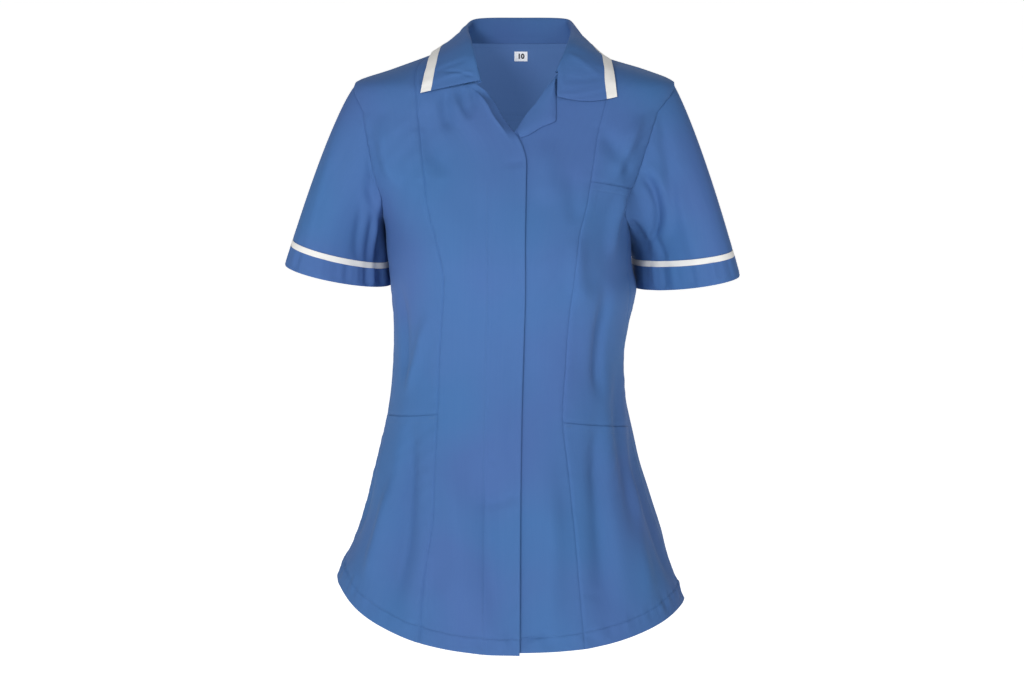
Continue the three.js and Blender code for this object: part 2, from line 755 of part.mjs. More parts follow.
function collarShell(stations, steps, lift, thickness) {
  const base = stations.map((station) => collarSection(station, steps));
  const n = base.length - 1;
  const m = steps.length - 1;
  const shifted = (distance) => base.map((column, i) => column.map((p, j) => {
    const across = base[Math.min(i + 1, n)][j].clone().sub(base[Math.max(i - 1, 0)][j]);
    const along = column[Math.min(j + 1, m)].clone().sub(column[Math.max(j - 1, 0)]);
    return p.clone().addScaledVector(across.cross(along).normalize(), distance);
  }));
  return wall(shifted(lift + thickness), shifted(lift));
}

function collar() {
  const stations = Array.from({ length: COLLAR_STATIONS + 1 }, (_, i) => i / 2);
  const stand = Array.from({ length: STAND_STEPS }, (_, i) => i / STAND_STEPS - 1);
  const fall = Array.from({ length: FALL_STEPS + 1 }, (_, i) => i / FALL_STEPS);
  return collarShell(stations, [...stand, ...fall], 0, CLOTH);
}

function collarTrim() {
  const stations = Array.from({ length: COLLAR_STATIONS + 1 }, (_, i) => i / 2);
  const start = 1 - COLLAR_TRIM / FALL_LENGTH;
  return collarShell(stations, [start, (1 + start) / 2, 1], CLOTH + TRIM_LIFT, TRIM_THICKNESS);
}

// ---- Size label, on the inside of the back neck ----
function sizeLabel() {
  const depth = CLOTH + LABEL.gap;
  const levels = [LABEL.top - LABEL.height, LABEL.top];
  const xs = [LABEL.width / 2, -LABEL.width / 2];
  const grid = (out) => xs.map((x) => levels.map((level) => (
    onBody(angleAt(LABEL.across + x, level, -1), level, out))));
  return wall(grid(-depth), grid(-depth - LABEL.thickness));
}

// ---- The garment ----
const tunic = new THREE.Group();
const cloth = new THREE.MeshStandardMaterial({ color: BLUE, roughness: 0.85, metalness: 0 });
const tape = new THREE.MeshStandardMaterial({ color: OFF_WHITE, roughness: 0.8, metalness: 0 });

function add(name, geometry, material = cloth) {
  const mesh = new THREE.Mesh(geometry, material);
  mesh.name = name;
  tunic.add(mesh);
}

add('centre_front_right', centreFrontRight());
add('centre_front_left', centreFrontLeft());
add('revere_left', revere());

const hipBack = pocketBack(SKIRT, HIP_POCKET_STATION, HIP_POCKET_DEPTH);
const breastBack = pocketBack(BODICE, BREAST_POCKET_STATION, BREAST_POCKET_DEPTH);
add('side_front_right', sideFront(
  'right', joined(hipBack, BODICE), 5, pocketSink(HIP_POCKET_STATION)));
add('hip_pocket_right', sideFront('right', SKIRT, 5));
add('side_front_left', sideFront(
  'left', joined(breastBack, above(BODICE, BREAST_POCKET_STATION)), 5,
  pocketSink(BREAST_POCKET_STATION)));
add('breast_pocket_left', sideFront(
  'left', joined(hipBack, below(BODICE, BREAST_POCKET_STATION)), 5,
  pocketSink(HIP_POCKET_STATION)));
add('hip_pocket_left', sideFront('left', SKIRT, 5));

add('back', back());
add('back_yoke', backYoke());

for (const side of ['right', 'left']) {
  add(`sleeve_${side}`, sleeve(side));
  add(`sleeve_trim_${side}`, sleeveTrim(side), tape);
  add(`cuff_${side}`, cuff(side));
}

add('collar', collar());
add('collar_trim', collarTrim(), tape);
add('size_label', sizeLabel(), tape);

export default tunic;
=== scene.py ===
"""Revere collar tunic in mid blue poly-cotton with off-white tape, filled out as it is worn.

Each cut piece is a thin cloth shell on the form of its solid. Sizes are in millimetres until a
mesh is made. +Z is up, the front faces -Y and the wearer's left is +X.
"""

import math
from types import SimpleNamespace as Fields

import bpy
import numpy as np
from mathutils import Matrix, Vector


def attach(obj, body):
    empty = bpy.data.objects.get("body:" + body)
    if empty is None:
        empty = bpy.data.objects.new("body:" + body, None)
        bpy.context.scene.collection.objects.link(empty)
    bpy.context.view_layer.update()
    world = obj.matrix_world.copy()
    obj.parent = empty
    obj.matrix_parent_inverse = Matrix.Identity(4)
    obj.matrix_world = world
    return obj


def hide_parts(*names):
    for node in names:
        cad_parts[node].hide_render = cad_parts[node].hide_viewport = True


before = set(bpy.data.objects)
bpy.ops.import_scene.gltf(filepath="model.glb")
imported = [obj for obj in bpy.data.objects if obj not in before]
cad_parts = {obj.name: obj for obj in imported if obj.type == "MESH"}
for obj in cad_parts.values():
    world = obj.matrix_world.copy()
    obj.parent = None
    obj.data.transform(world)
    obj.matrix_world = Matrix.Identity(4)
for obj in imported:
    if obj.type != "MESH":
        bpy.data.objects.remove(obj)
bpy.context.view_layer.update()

MM = 0.001


# ---- Camera, light and floor ----
CAMERA = Fields(target=(-0.008, 0.0, -0.365), elevation=8.5, distance=4.5, lens=129.7)
FLOOR = Fields(level=-1.15, half=40.0)


def put(name, data):
    """A new object in the scene."""
    made = bpy.data.objects.new(name, data)
    bpy.context.scene.collection.objects.link(made)
    return made


def point_at(thing, aim):
    thing.rotation_euler = (Vector(aim) - thing.location).to_track_quat("-Z", "Y").to_euler()


def camera():
    lift = math.radians(CAMERA.elevation)
    target = Vector(CAMERA.target)
    data = bpy.data.cameras.new("camera")
    data.lens = CAMERA.lens
    data.clip_end = 200
    shot = put("camera", data)
    shot.location = target + CAMERA.distance * Vector((0, -math.cos(lift), math.sin(lift)))
    point_at(shot, target)
    bpy.context.scene.camera = shot


def soft_light(name, place, aim, size, power):
    data = bpy.data.lights.new(name, "AREA")
    data.shape = "DISK"
    data.size = size
    data.energy = power
    light = put(name, data)
    light.location = place
    point_at(light, aim)


def studio():
    soft_light("key light", (-1.6, -3.5, 0.95), (0, 0, -0.2), 1.1, 88)
    soft_light("fill light", (2.0, -3.3, 1.1), (0, 0, -0.2), 2.2, 26)
    soft_light("back light", (0.4, 3.0, 1.6), (0, 0, -0.3), 2.0, 16)
    world = bpy.data.worlds.new("studio")
    world.use_nodes = True
    background = world.node_tree.nodes["Background"]
    background.inputs["Color"].default_value = (1, 1, 1, 1)
    background.inputs["Strength"].default_value = 0.3
    bpy.context.scene.world = world
    bpy.context.scene.view_settings.view_transform = "Standard"


# ---- Materials ----
THREAD = 0.9  # mm between the drawn twill lines: real ones are 0.4 mm, too fine to show
TAPE_RIB = 1.1  # mm between the drawn ribs of a tape, coarser than real ones for the same reason


def linear(hex_colour):
    """sRGB hex to linear RGBA."""
    parts = [int(hex_colour[i:i + 2], 16) / 255 for i in (1, 3, 5)]
    return tuple(c / 12.92 if c <= 0.04045 else ((c + 0.055) / 1.055) ** 2.4 for c in parts) + (1,)


def add(tree, kind, settings=None, **links):
    """Adds a node. settings sets its properties and unlinked inputs, where a hex colour is made
    linear. links joins inputs to outputs, or to a node's first output; n0 is the first input."""
    node = tree.nodes.new(kind)
    for name, value in (settings or {}).items():
        if isinstance(name, int) or name in node.inputs:
            is_hex = isinstance(value, str) and value.startswith("#")
            node.inputs[name].default_value = linear(value) if is_hex else value
        else:
            setattr(node, name, value)
    for name, source in links.items():
        key = int(name[1:]) if name[0] == "n" and name[1:].isdigit() else name
        output = source.outputs[0] if isinstance(source, bpy.types.Node) else source
        tree.links.new(output, node.inputs[key])
    return node


def new_material(name, roughness, sheen=0.0, sheen_tint="#ffffff"):
    material = bpy.data.materials.new(name)
    material.use_nodes = True
    shader = material.node_tree.nodes["Principled BSDF"]
    shader.inputs["Roughness"].default_value = roughness
    shader.inputs["Specular IOR Level"].default_value = 0.25
    shader.inputs["Sheen Weight"].default_value = sheen
    shader.inputs["Sheen Roughness"].default_value = 0.45
    shader.inputs["Sheen Tint"].default_value = linear(sheen_tint)
    return material, material.node_tree, shader


def weave(tree, pitch, lean):
    """Fine lines of thread across the piece's own UV map, which is in metres."""
    uv = add(tree, "ShaderNodeUVMap", {"uv_map": "cloth"})
    turned = add(tree, "ShaderNodeMapping", {"Rotation": (0, 0, math.radians(lean))}, Vector=uv)
    lines = add(tree, "ShaderNodeTexWave", {
        "Scale": math.tau / (20 * pitch * MM), "Distortion": 0.6, "Detail": 1.0,
        "Detail Scale": 0.4}, Vector=turned)
    return uv, lines.outputs["Fac"]


def poly_cotton(name, base, lighter, violet, teal):
    """Woven poly-cotton twill: matt, a faint sheen at grazing angles, fine diagonal lines, and
    slightly uneven dye that leans to violet and to teal over a hand's breadth."""
    material, tree, shader = new_material(name, 0.78, 0.07, "#8fb0e0")
    uv, lines = weave(tree, THREAD, 27)
    streaks = add(tree, "ShaderNodeMapping", {"Scale": (420, 9, 1)}, Vector=uv)
    slub = add(tree, "ShaderNodeTexNoise", {"Scale": 1.0, "Detail": 2.0, "Roughness": 0.55},
               Vector=streaks)
    place = add(tree, "ShaderNodeTexCoord")
    dye = add(tree, "ShaderNodeTexNoise", {"Scale": 7.5, "Detail": 1.5, "Roughness": 0.4},
              Vector=place.outputs["Object"])
    hue = add(tree, "ShaderNodeValToRGB", {}, Fac=dye)
    ramp = hue.color_ramp
    ramp.elements[0].position, ramp.elements[0].color = 0.36, linear(violet)
    ramp.elements[1].position, ramp.elements[1].color = 0.64, linear(teal)
    ramp.elements.new(0.5).color = linear(base)
    thread = add(tree, "ShaderNodeMath", {"operation": "MULTIPLY_ADD", 1: 0.35, 2: 0.0}, n0=lines)
    tone = add(tree, "ShaderNodeMath", {"operation": "MULTIPLY_ADD", 1: 0.5}, n0=slub, n2=thread)
    strength = add(tree, "ShaderNodeMath", {"operation": "MULTIPLY", 1: 0.4}, n0=tone)
    colour = add(tree, "ShaderNodeMix", {"data_type": "RGBA", "B": lighter}, Factor=strength, A=hue)
    height = add(tree, "ShaderNodeMath", {"operation": "ADD"}, n0=lines, n1=slub)
    bump = add(tree, "ShaderNodeBump", {"Strength": 0.35, "Distance": 0.00012}, Height=height)
    tree.links.new(colour.outputs["Result"], shader.inputs["Base Color"])
    tree.links.new(bump.outputs["Normal"], shader.inputs["Normal"])
    return material


def glow(material, colour, strength):
    """An even glow. On the cloth's inside and on the label it is painted light, standing in for the
    studio's light that reaches the tunic's inside; on the floor it keeps the far side as pale as the
    near."""
    shader = material.node_tree.nodes["Principled BSDF"]
    shader.inputs["Emission Color"].default_value = linear(colour)
    shader.inputs["Emission Strength"].default_value = strength
    return material


def woven_tape(name, base, shade):
    """Off-white polyester tape with a fine rib across it: matt and a little brighter than cloth."""
    material, tree, shader = new_material(name, 0.7, 0.15)
    _, ribs = weave(tree, TAPE_RIB, 90)
    colour = add(tree, "ShaderNodeMix", {"data_type": "RGBA", "A": shade, "B": base}, Factor=ribs)
    bump = add(tree, "ShaderNodeBump", {"Strength": 0.3, "Distance": 0.0001}, Height=ribs)
    tree.links.new(colour.outputs["Result"], shader.inputs["Base Color"])
    tree.links.new(bump.outputs["Normal"], shader.inputs["Normal"])
    return material


def mottled(name, roughness, sheen, grain, base, shade):
    """A plain finish in two near shades: the twist of spun polyester thread, which has a soft
    gloss, or the grain of a matt painted floor."""
    material, tree, shader = new_material(name, roughness, sheen)
    place = add(tree, "ShaderNodeTexCoord")
    noise = add(tree, "ShaderNodeTexNoise", grain, Vector=place.outputs["Object"])
    colour = add(tree, "ShaderNodeMix", {"data_type": "RGBA", "A": shade, "B": base}, Factor=noise)
    tree.links.new(colour.outputs["Result"], shader.inputs["Base Color"])
    return material


def spun_thread(name, base, shade):
    return mottled(name, 0.55, 0.1, {"Scale": 900.0, "Detail": 1.0}, base, shade)


def floor():
    half, level = FLOOR.half, FLOOR.level
    mesh = bpy.data.meshes.new("floor")
    corners = [(x * half, y * half, level) for x, y in ((-1, -1), (1, -1), (1, 1), (-1, 1))]
    mesh.from_pydata(corners, [], [(0, 1, 2, 3)])
    paint = mottled("pale matt floor paint", 0.9, 0.0, {"Scale": 3.0}, "#fafafa", "#f7f7f7")
    mesh.materials.append(glow(paint, "#ffffff", 0.72))
    put("floor", mesh)


cloth_face = poly_cotton("poly-cotton twill, dyed blue", "#395d93", "#486d9c", "#3c5a92", "#355f94")
# Painted shade and painted light: the inside faces are a darker copy of the cloth for the shade
# within the tunic, with a painted glow for the light that still reaches it.
cloth_inside_painted_shade_glow = glow(
    poly_cotton("poly-cotton twill, reverse", "#38557f", "#456289", "#3a527f", "#35577f"),
    "#3a547a", 0.82)
tape = woven_tape("woven polyester tape, off-white", "#dddcd9", "#d0cfcc")
blue_thread = spun_thread("spun polyester thread, blue", "#4a6f9f", "#34557f")
# The label's glow is painted light, for the light that reaches the yoke's inside.
label_tape_painted_glow = glow(woven_tape("woven satin label, off-white", "#ecebe6", "#e3e2dd"), "#c4c6cc", 0.42)
tape_thread = spun_thread("spun polyester thread, off-white", "#d6d5d2", "#c2c1bd")
label_ink = spun_thread("woven label figures, black", "#23242a", "#2e2f36")


# ---- Sizes ----
CLOTH = 0.7  # one layer of cloth with its finish
SEAM = Fields(dip=0.8, round=1.3)  # how deep a panel's edge turns down into its seam, and how wide
PRESSED = Fields(rise=0.4, width=10)  # turnings pressed to one side of a seam
TURN_IN = Fields(width=11, depth=9.5, rise=1.1)  # the neck edge's roll to the inside
WAIST = -380
HEM = -720
HEM_FRONT = -724
HEM_BACK = -700
HEM_SIDE = {"right": -653, "left": -682}
HEM_TURNING = Fields(depth=20, rise=0.4, groove=0.5, pucker=1.0)
GROOVE = 1.2  # how far beside a row of stitches its groove fades
SQUARENESS = 0.1  # how much fuller than ellipses the rings round the body are
BUST = Fields(fullness=9, level=-232, angle=31, wide=20, high=62)
UNDERLAP = 37
UNDER_RISE = 3.6  # the under front hangs this much higher at its hem
PLACKET = Fields(lift=2.2, width=43, top=-166, bar=14, groove=0.5)
EDGE_BEAD = Fields(rise=0.45, start=1.6, width=1.2)  # along the over front's pressed edge
UNDERARM = -217
SHOULDER_POINT = -49
NECK_STATION = -19
YOKE_STATION = -97
BREAST_POCKET = Fields(mouth=-158, depth=130)
HIP_POCKET = Fields(mouth=-440, depth=150)
HIP_MOUTH = {"right": (1, 38), "left": (7.5, 39.5)}  # drop at the princess and at the side seam
POCKET_SINK = 0.8  # of the cloth that runs on behind a pocket
MOUTH = Fields(depth=8, rise=0.2, ease=0.3)  # a pocket mouth's turned edge
SLEEVE_TRIM = 7
COLLAR_TRIM = 13
COLLAR_LIFT = 1.6  # of the fall's edge over the body
COLLAR_CLOTH = Fields(under=0.4, over=1.5)  # its faces, over the collar's section
REVERE = Fields(rise=3.2, clear=0.3, cloth=1.0, turn=0.92)
NECK_DROP = 4  # the back neck seam lies this far below the shoulder-neck points
LABEL = Fields(width=16, height=12, thickness=0.3, clear=0.5, across=3, top=-16,
               number="10", figures=8.6, boldness=0.4, number_clear=0.06)
SIGN = {"left": 1, "right": -1}


# ---- Tables: rows with named columns. An outline is keyed on its first, in rising order ----
def table(text):
    """A table from its text: a line of column names over lines of numbers."""
    names, *rows = (line.split() for line in text.strip().splitlines())
    return Fields(names=names, rows=np.array(rows, float))


def read(outline, value):
    """Every column of an outline at the keys between its rows, along a smooth curve."""
    rows = outline.rows
    key = rows[:, 0]
    number = np.arange(len(rows))
    value = np.clip(np.asarray(value, float), key[0], key[-1])
    i = np.clip(np.searchsorted(key, value) - 1, 0, len(rows) - 2)
    before, after = np.maximum(number - 1, 0), np.minimum(number + 1, number[-1])
    slope = (rows[after] - rows[before]) / (key[after] - key[before])[:, None]
    span = key[i + 1] - key[i]
    t = (value - key[i]) / span
    h1 = t * t * (3 - 2 * t)
    ease = t * (1 - t) * span
    return Fields(**{name: rows[i, n] * (1 - h1) + rows[i + 1, n] * h1
                    + ease * ((1 - t) * slope[i, n] - t * slope[i + 1, n])
                    for n, name in enumerate(outline.names)})


BODY = table("""
level middle half front back turn
-720 -12 232 139 126 4.5
-683 -14 218 137 124 4.5
-655 -15 208 135 122 4.5
-637 -14.5 200 134 121 4.5
-604 -13 187 132 118 4.5
-562 -13.5 173 130 114 4.5
-508 -15 159 126 108 4.5
-453 -13.6 147 121 98 4.5
-417 -12.6 142.5 118 91 4.5
-380 -11.5 140.5 118 88 4.5
-340 -8.8 143.5 124 91 4.2
-299 -6 149.5 133 98 3.5
-270 -10 148 138 103 3
-250 -11.8 148.3 140 106 2.6
-217 -12.8 149.8 138 109 2
-184 -14 162 132 110 1.4
-151 -14 176 123 109 1
-106 -11.5 192 106 103 0.5
-84 -10 196 97 97 0.2
-49 -4.5 192.5 82 83 0
-34 -0.8 154.8 75 77 0
-19 -5 109 70 71 0
-10 -2 90 67 67 0
0 3 78 63 62 0
""")
PRINCESS = table("""
level right left
-720 -119.5 79.5
-640 -113.5 72.5
-572 -103.5 66.5
-498 -99.8 58.5
-440 -97.1 52.5
-376 -95 56.3
-333 -92.4 59.2
-275 -89 65.2
-250 -92.8 67.2
-217 -100.4 72.8
-188 -107.3 80.4
-154 -111.3 86.4
-105 -117.3 94.3
-60 -121.3 105
-30 -122.5 108
-19 -114.5 104.6
""")
OVER_EDGE = table("""
station across level
-720 1.3 -720
-572 1.7 -572
-440 3.3 -440
-340 6 -340
-290 7.4 -290
-217 7.3 -221
-165 8.3 -154
-142 8.3 -131
-126 3.4 -114
-112 -5 -98.5
-94 -18.6 -80
-79 -27.5 -64
-66 -37.6 -53
-53 -49.2 -45
-40 -59.9 -33
-28 -69.4 -18.5
-19 -75 0
""")
UNDER_EDGE = table("""
station across level
-155 -26.4 -142
-132 -19.7 -120.5
-118 -11 -107
-107 -2.3 -96
-90 9.5 -78.5
-76 20 -67
-58 32.5 -50
-44 45 -34
-33 60 -22
-25 72.2 -11.5
-19 81 0
""")
# Under the placket the under edge keeps an underlap from the over edge.
UNDER_EDGE.rows = np.concatenate([OVER_EDGE.rows[:6] - [0, UNDERLAP, 0], UNDER_EDGE.rows])
ARMHOLE = table("""
station front front_level back back_level
-217 90 -217 90 -217
-200 76 -206 98 -208
-178 66.5 -188 106 -192
-154 63.5 -168 112 -170
-125 61.5 -140 115.5 -138
-97 60 -112 116.5 -104
-72 60.5 -88 115 -82
-52 64 -74 111 -68
-33 72 -61 103 -58
-24 80 -53.5 96 -52
-19 90 -49 90 -49
""")
ARMHOLE_FOOT = -154  # up to here the armhole follows the side seam's swing
SIDE_SEAM_LEFT = table("""
level angle
-720 90
-450 89
-380 84
-340 77
-299 71
-265 74
-217 80
""")
# The sleeve's end rings: across, level, radius, tilt, depth, forward, swing, dip
SLEEVE_RINGS = {
    ("right", "trim"): (-214.9, -252, 59.8, 15.6, 56, 4, 26, 2),
    ("right", "cuff"): (-218.6, -281, 65.3, 13.6, 58, 6, 26, 3),
    ("left", "trim"): (198.3, -256.2, 59.8, 9.6, 56, 6, 42, 1),
    ("left", "cuff"): (204, -289.2, 63.2, 11.2, 58, 8, 42, 2),
}
COLLAR = table("""
station neckX neckY neckZ foldX foldY foldZ edgeX edgeZ
0 -48.5 -78.9 -44.2 -46.5 -85 -40.4 -116 -56.5
1 -57.7 -71.7 -34.1 -49.6 -78.3 -27.8 -113.2 -44.5
2 -67.6 -61.6 -20 -53.6 -67 -12.7 -109.8 -31.5
3 -72.5 -40 -5.6 -58.2 -38.4 4.3 -104 -16
4 -74.3 -5 0.5 -62.3 4 13.5 -93 -12.5
5 -71.9 25.5 -0.9 -60.8 36.3 17.8 -80 -15.5
6 -51.1 51.6 -2.6 -48.3 59.3 23.3 -46 -21
7 0.9 63.5 -3.5 3 69 23.6 3 -23
8 54.3 51.3 -2.6 54.8 59.3 23.3 54 -21
9 76.5 25 -0.9 63 35.3 18.2 86 -16.5
10 80.2 -5 0.5 64.1 2 11.5 99 -16.2
11 75.8 -40.5 -5.4 60.8 -37.8 3.1 108.8 -22
12 69.4 -55.2 -12.9 55.6 -59.6 -8.3 112.3 -35
13 58 -65.4 -22.3 50.5 -71.2 -19.4 114.5 -48
14 45.8 -72.6 -32.2 45.3 -78.9 -31.4 116 -60.9
""")
COLLAR_LAST = 14
COLLAR_END = Fields(start=12, across=44.9, level=-60.3, share=0.3, bow=4.6, lift=6)
COLLAR_CURVE = Fields(least=3, full=6.5, growth=0.35, stand=0.4, tuck=0.6, dip=0.2,
                      ease=0.35, bow=2)
REVERE_EDGES = table("""
along rollX rollZ freeX freeZ
0 -3 -97 1.9 -106.5
1 3.5 -87.5 13 -102.3
2 9.7 -78.5 27 -94.2
2.75 17.3 -69.8 39.4 -89.5
3 20 -67 43.2 -87
3.2 22.6 -63.6 43.7 -83
4 32 -50.2 43.8 -62
5 41.5 -38.5 43.9 -41
""")

# Soft folds are lines from one place to another, with their width, their height and how far they
# bow to the left in millimetres. Troughs are negative.
# The body's: the front's, then the left side's, the back's and the right side's
BODY_FOLDS = table("""
angle level to_angle to_level width height bow
-51 -541 -50.7 -676 12 7.5 2
-45.3 -455 -34.5 -700 15 -11.5 -3
-19.5 -486 -10.5 -671 15 6.5 0
-4 -491 -0.2 -675 10 -6.5 4
-7.6 -545 8.7 -527 5 -2.2 2
20.5 -492 14.6 -694 12 7 -2
50 -445 35 -681 14 -9.5 3
72 -385 64 -640 17 -7 2
73.7 -530 55.3 -688 15 6 0
-23.5 -617 -18.8 -712 10 -3.5 0
-58.1 -286 -55.7 -403 11 -4.5 0
-35.6 -314 -50.8 -415 9 4.5 2
46.9 -281 51.8 -416 11 -7.5 0
33.1 -225 34 -303 12 4.5 0
48.6 -84 46 -150 10 6.5 3
30.2 -96 54.7 -154 8 -4.5 0
55 -165 56 -245 12 7 0
-47.1 -88 -48.7 -160 12 5.5 2
-18.7 -42 -12.7 -82 4.2 -4.6 1
-13.6 -44 -11.6 -74 3.2 -3.6 0
-22.2 -46 -19.2 -97 6 -5 2
-1 -136 6.6 -133 2.6 -1.6 0
23.6 -141 30.7 -203 9 -3.5 1
-28.8 -70 -23.5 -144 10 -5 3
12 -109 16.6 -177 12 3.5 0
5.5 -705 14.3 -695 3.2 -1.8 0
23.5 -701 29.6 -720 3.2 -1.8 0
27.5 -655 33.9 -663 3 -1.4 0
-3.8 -484 0 -494 2.6 -1.4 0
84 -470 80 -690 15 -6 3
102 -430 106 -670 18 5.5 -2
92 -262 86 -330 9 -4 2
100 -330 98 -425 11 -4.5 -2
120 -455 127 -700 17 -7.5 3
143 -520 139 -690 18 5 -3
160 -440 163 -700 20 -8 4
184 -500 178 -690 22 6 0
205 -450 199 -700 17 -7 -4
224 -530 229 -680 16 5.5 2
241 -460 236 -690 15 -6.5 3
131 -290 138 -420 13 -5.5 2
226 -280 219 -410 12 -5 -3
168 -330 152 -372 8 -3 3
196 -318 210 -350 8 -3 -2
124 -130 136 -215 12 -4.5 2
236 -125 226 -220 12 -4.5 -2
150 -150 156 -240 15 3.5 0
209 -145 204 -235 14 3.5 0
258 -430 252 -655 17 5.5 2
276 -470 281 -650 14 -6 -3
268 -268 275 -335 9 -4 -2
262 -335 265 -430 11 -4.5 2
""")
DEGREE = 2.6  # millimetres round the body in a degree
SLEEVE_FOLDS = {"right": table("""
turn share to_turn to_share width height bow
98 0.04 112 0.38 11 -4 2
150 0.15 140 1 8 -5 2
136 0.4 131 1 6 2.4 0
122 0.4 125 1 6 -3.2 2
105 0.5 110 1 6 -2.4 0
60 0.1 52 0.9 13 -2.5 0
34 0.35 47 0.95 10 2.5 2
-62 0.25 -55 0.95 10 -4 2
-95 0.4 -101 1 8 3.5 0
-128 0.2 -122 1 9 -4.5 -2
"""), "left": table("""
turn share to_turn to_share width height bow
104 0.12 128 0.8 5 -5.5 -17
92 0.15 106 0.78 7 4 -14
50 0.05 86 0.62 11 -3.5 -3
70 0.45 78 1 9 3 2
140 0.35 134 1 7 -4.5 0
176 0.3 172 1 13 3.4 0
118 0.7 113 1 5 -3 0
-58 0.2 -50 0.95 10 -4 -2
-90 0.4 -97 1 8 3.5 2
-124 0.25 -118 1 9 -4.5 0
""")}
SLEEVE_LENGTH = 170
# Gathers of the cuffs, narrowest at the tape: turn, width and height
CUFF_GATHERS = {
    "right": [(146, 4, -2.6), (133, 3, 2.2), (124, 4, -2.2), (112, 3, 1.6), (100, 4, -1.6),
              (71, 5, 1.5), (38, 4, -1.4), (14, 5, 1.2), (-30, 5, -1.5), (-62, 4, 1.8),
              (-84, 4, -2.2), (-110, 5, 2.0), (-133, 4, -2.2)],
    "left": [(142, 4, -2.4), (128, 4, 2.4), (117, 3, -2.4), (104, 4, 1.4), (83, 4, -1.8),
             (58, 5, 1.5), (31, 4, -1.3), (-6, 5, 1.3), (-41, 5, -1.6), (-66, 4, 1.6),
             (-92, 4, -2.3), (-115, 4, 2.1), (-138, 5, -2.0)],
}
COLLAR_CREASES = table("""
station share to_station to_share width height bow
0.25 0.15 1.5 0.72 3 -1.2 4
0.7 0.05 1 0.65 4 1.1 2
1.9 0.2 1.6 0.8 5 -1 0
4.2 0.1 4.7 0.85 7 -1.4 2
6.1 0.1 5.9 0.9 8 1.5 0
7.7 0.15 7.5 0.9 6 -1.2 3
9.6 0.1 9.3 0.85 7 -1.3 0
12.1 0.1 12.5 0.75 4 1.2 -3
13 0.2 12.6 0.8 3 -1.2 2
13.7 0.25 13.1 0.85 4 0.9 0
""")
COLLAR_STEP = 35  # millimetres along the collar in a station
FALL = 62  # millimetres down the fall


# ---- The body's surface ----
def smooth(low, high, value):
    t = np.clip((value - low) / (high - low), 0, 1)
    return t * t * (3 - 2 * t)


def bell(offset):
    return np.exp(-offset ** 2)


def spread(*values):
    """Numbers and arrays as arrays of one shape."""
    return np.broadcast_arrays(*(np.asarray(value, float) for value in values))


def cos_sin(degrees):
    return np.cos(np.radians(degrees)), np.sin(np.radians(degrees))


def unit(vectors):
    return vectors / np.maximum(np.linalg.norm(vectors, axis=-1, keepdims=True), 1e-9)


def hem_level(angle):
    """The hem's level at an angle: lowest in front, higher at the sides."""
    c, s = cos_sin(angle)
    side = np.where(s > 0, HEM_SIDE["left"], HEM_SIDE["right"])
    return side + (np.where(c > 0, HEM_FRONT, HEM_BACK) - side) * c ** 2


def real_level(angle, level):
    """Below the waist, levels are spread so that the lowest of them follows the hem."""
    spread = WAIST + (level - WAIST) * (hem_level(angle) - WAIST) / (HEM - WAIST)
    return np.where(level >= WAIST, level, spread)


def ring_point(angle, level):
    """The plain ring surface. Angles run from 0 at the centre front through 90 at the wearer's
    left side and 180 at the centre back to 270 at the right side."""
    angle, level = spread(angle, level)
    z = real_level(angle, level)
    ring = read(BODY, z)
    c, s = cos_sin(angle)
    bust = BUST.fullness * bell((z - BUST.level) / BUST.high) * np.maximum(c, 0) * (
        bell((angle - BUST.angle) / BUST.wide) + bell((angle + BUST.angle) / BUST.wide))
    x = ring.half * s * (1 + SQUARENESS * c * c)
    y = -np.where(c > 0, ring.front + bust, ring.back) * c * (1 + SQUARENESS * s * s)
    turn_c, turn_s = cos_sin(ring.turn)
    return np.stack([ring.middle + x * turn_c + y * turn_s, y * turn_c - x * turn_s, z], -1)


def body_normal(angle, level):
    step = 0.5
    below = np.minimum(level, -1) - step
    across = ring_point(angle + step, level) - ring_point(angle - step, level)
    up = ring_point(angle, below + 2 * step) - ring_point(angle, below)
    return unit(np.cross(across, up))


def fold_height(folds, x, y, wide, high, wrap=None):
    """The summed height of soft folds at places x, y, whose units are wide and high."""
    total = np.zeros(np.broadcast(x, y).shape)
    for x0, y0, x1, y1, width, height, bow in folds.rows:
        dx, dy, ex, ey = (x - x0) * wide, (y - y0) * high, (x1 - x0) * wide, (y1 - y0) * high
        if wrap:
            dx = (dx + wrap * wide / 2) % (wrap * wide) - wrap * wide / 2
        length = math.hypot(ex, ey)
        along = (dx * ex + dy * ey) / length ** 2
        across = (dx * ey - dy * ex) / length - 4 * bow * along * (1 - along)
        fade = smooth(-0.1, 0.35, along) * (1 - smooth(0.75, 1.15, along))
        total += height * fade * bell(across / width)
    return total


def pucker(along, distance, size=0.22):
    """Small uneven waves beside a row of sewing, fading within a few millimetres."""
    wave = (np.sin(along / 2.3 + 2 * np.sin(along / 19)) + 0.7 * np.sin(along / 4.1 + 1.3)
            + 0.6 * np.sin(along / 7.7 + 0.4))
    return size * wave * bell(distance / 9)


def hem_turning(angle, level):
    """The turned hem stands a little proud below its row of stitches."""
    height = real_level(angle, level) - hem_level(angle)
    return (HEM_TURNING.rise * (1 - smooth(HEM_TURNING.depth - 2, HEM_TURNING.depth, height))
            - HEM_TURNING.groove * bell((height - HEM_TURNING.depth) / GROOVE)
            + pucker(angle * DEGREE, height - HEM_TURNING.depth * 0.8, HEM_TURNING.pucker))


def unevenness(angle, level):
    """Cloth never lies quite smooth: shallow swells a hand's breadth long, and fine drags."""
    x, z = angle * DEGREE, level
    swell = (np.sin(x / 21 + 1.4 * np.sin(z / 71)) * np.sin(z / 47 + 0.9 * np.sin(x / 53))
             + 0.6 * np.sin(x / 11.3 + z / 39 + 1.1 * np.sin(z / 29)))
    patch = np.clip(np.sin(x / 37 + 1) * np.sin(z / 61 + 0.5), 0, 1)
    drag = np.sin((x - 0.9 * z) / 4 + 1.6 * np.sin(z / 33)) * patch
    return (0.75 * swell + 0.28 * drag) * smooth(-60, -100, level)


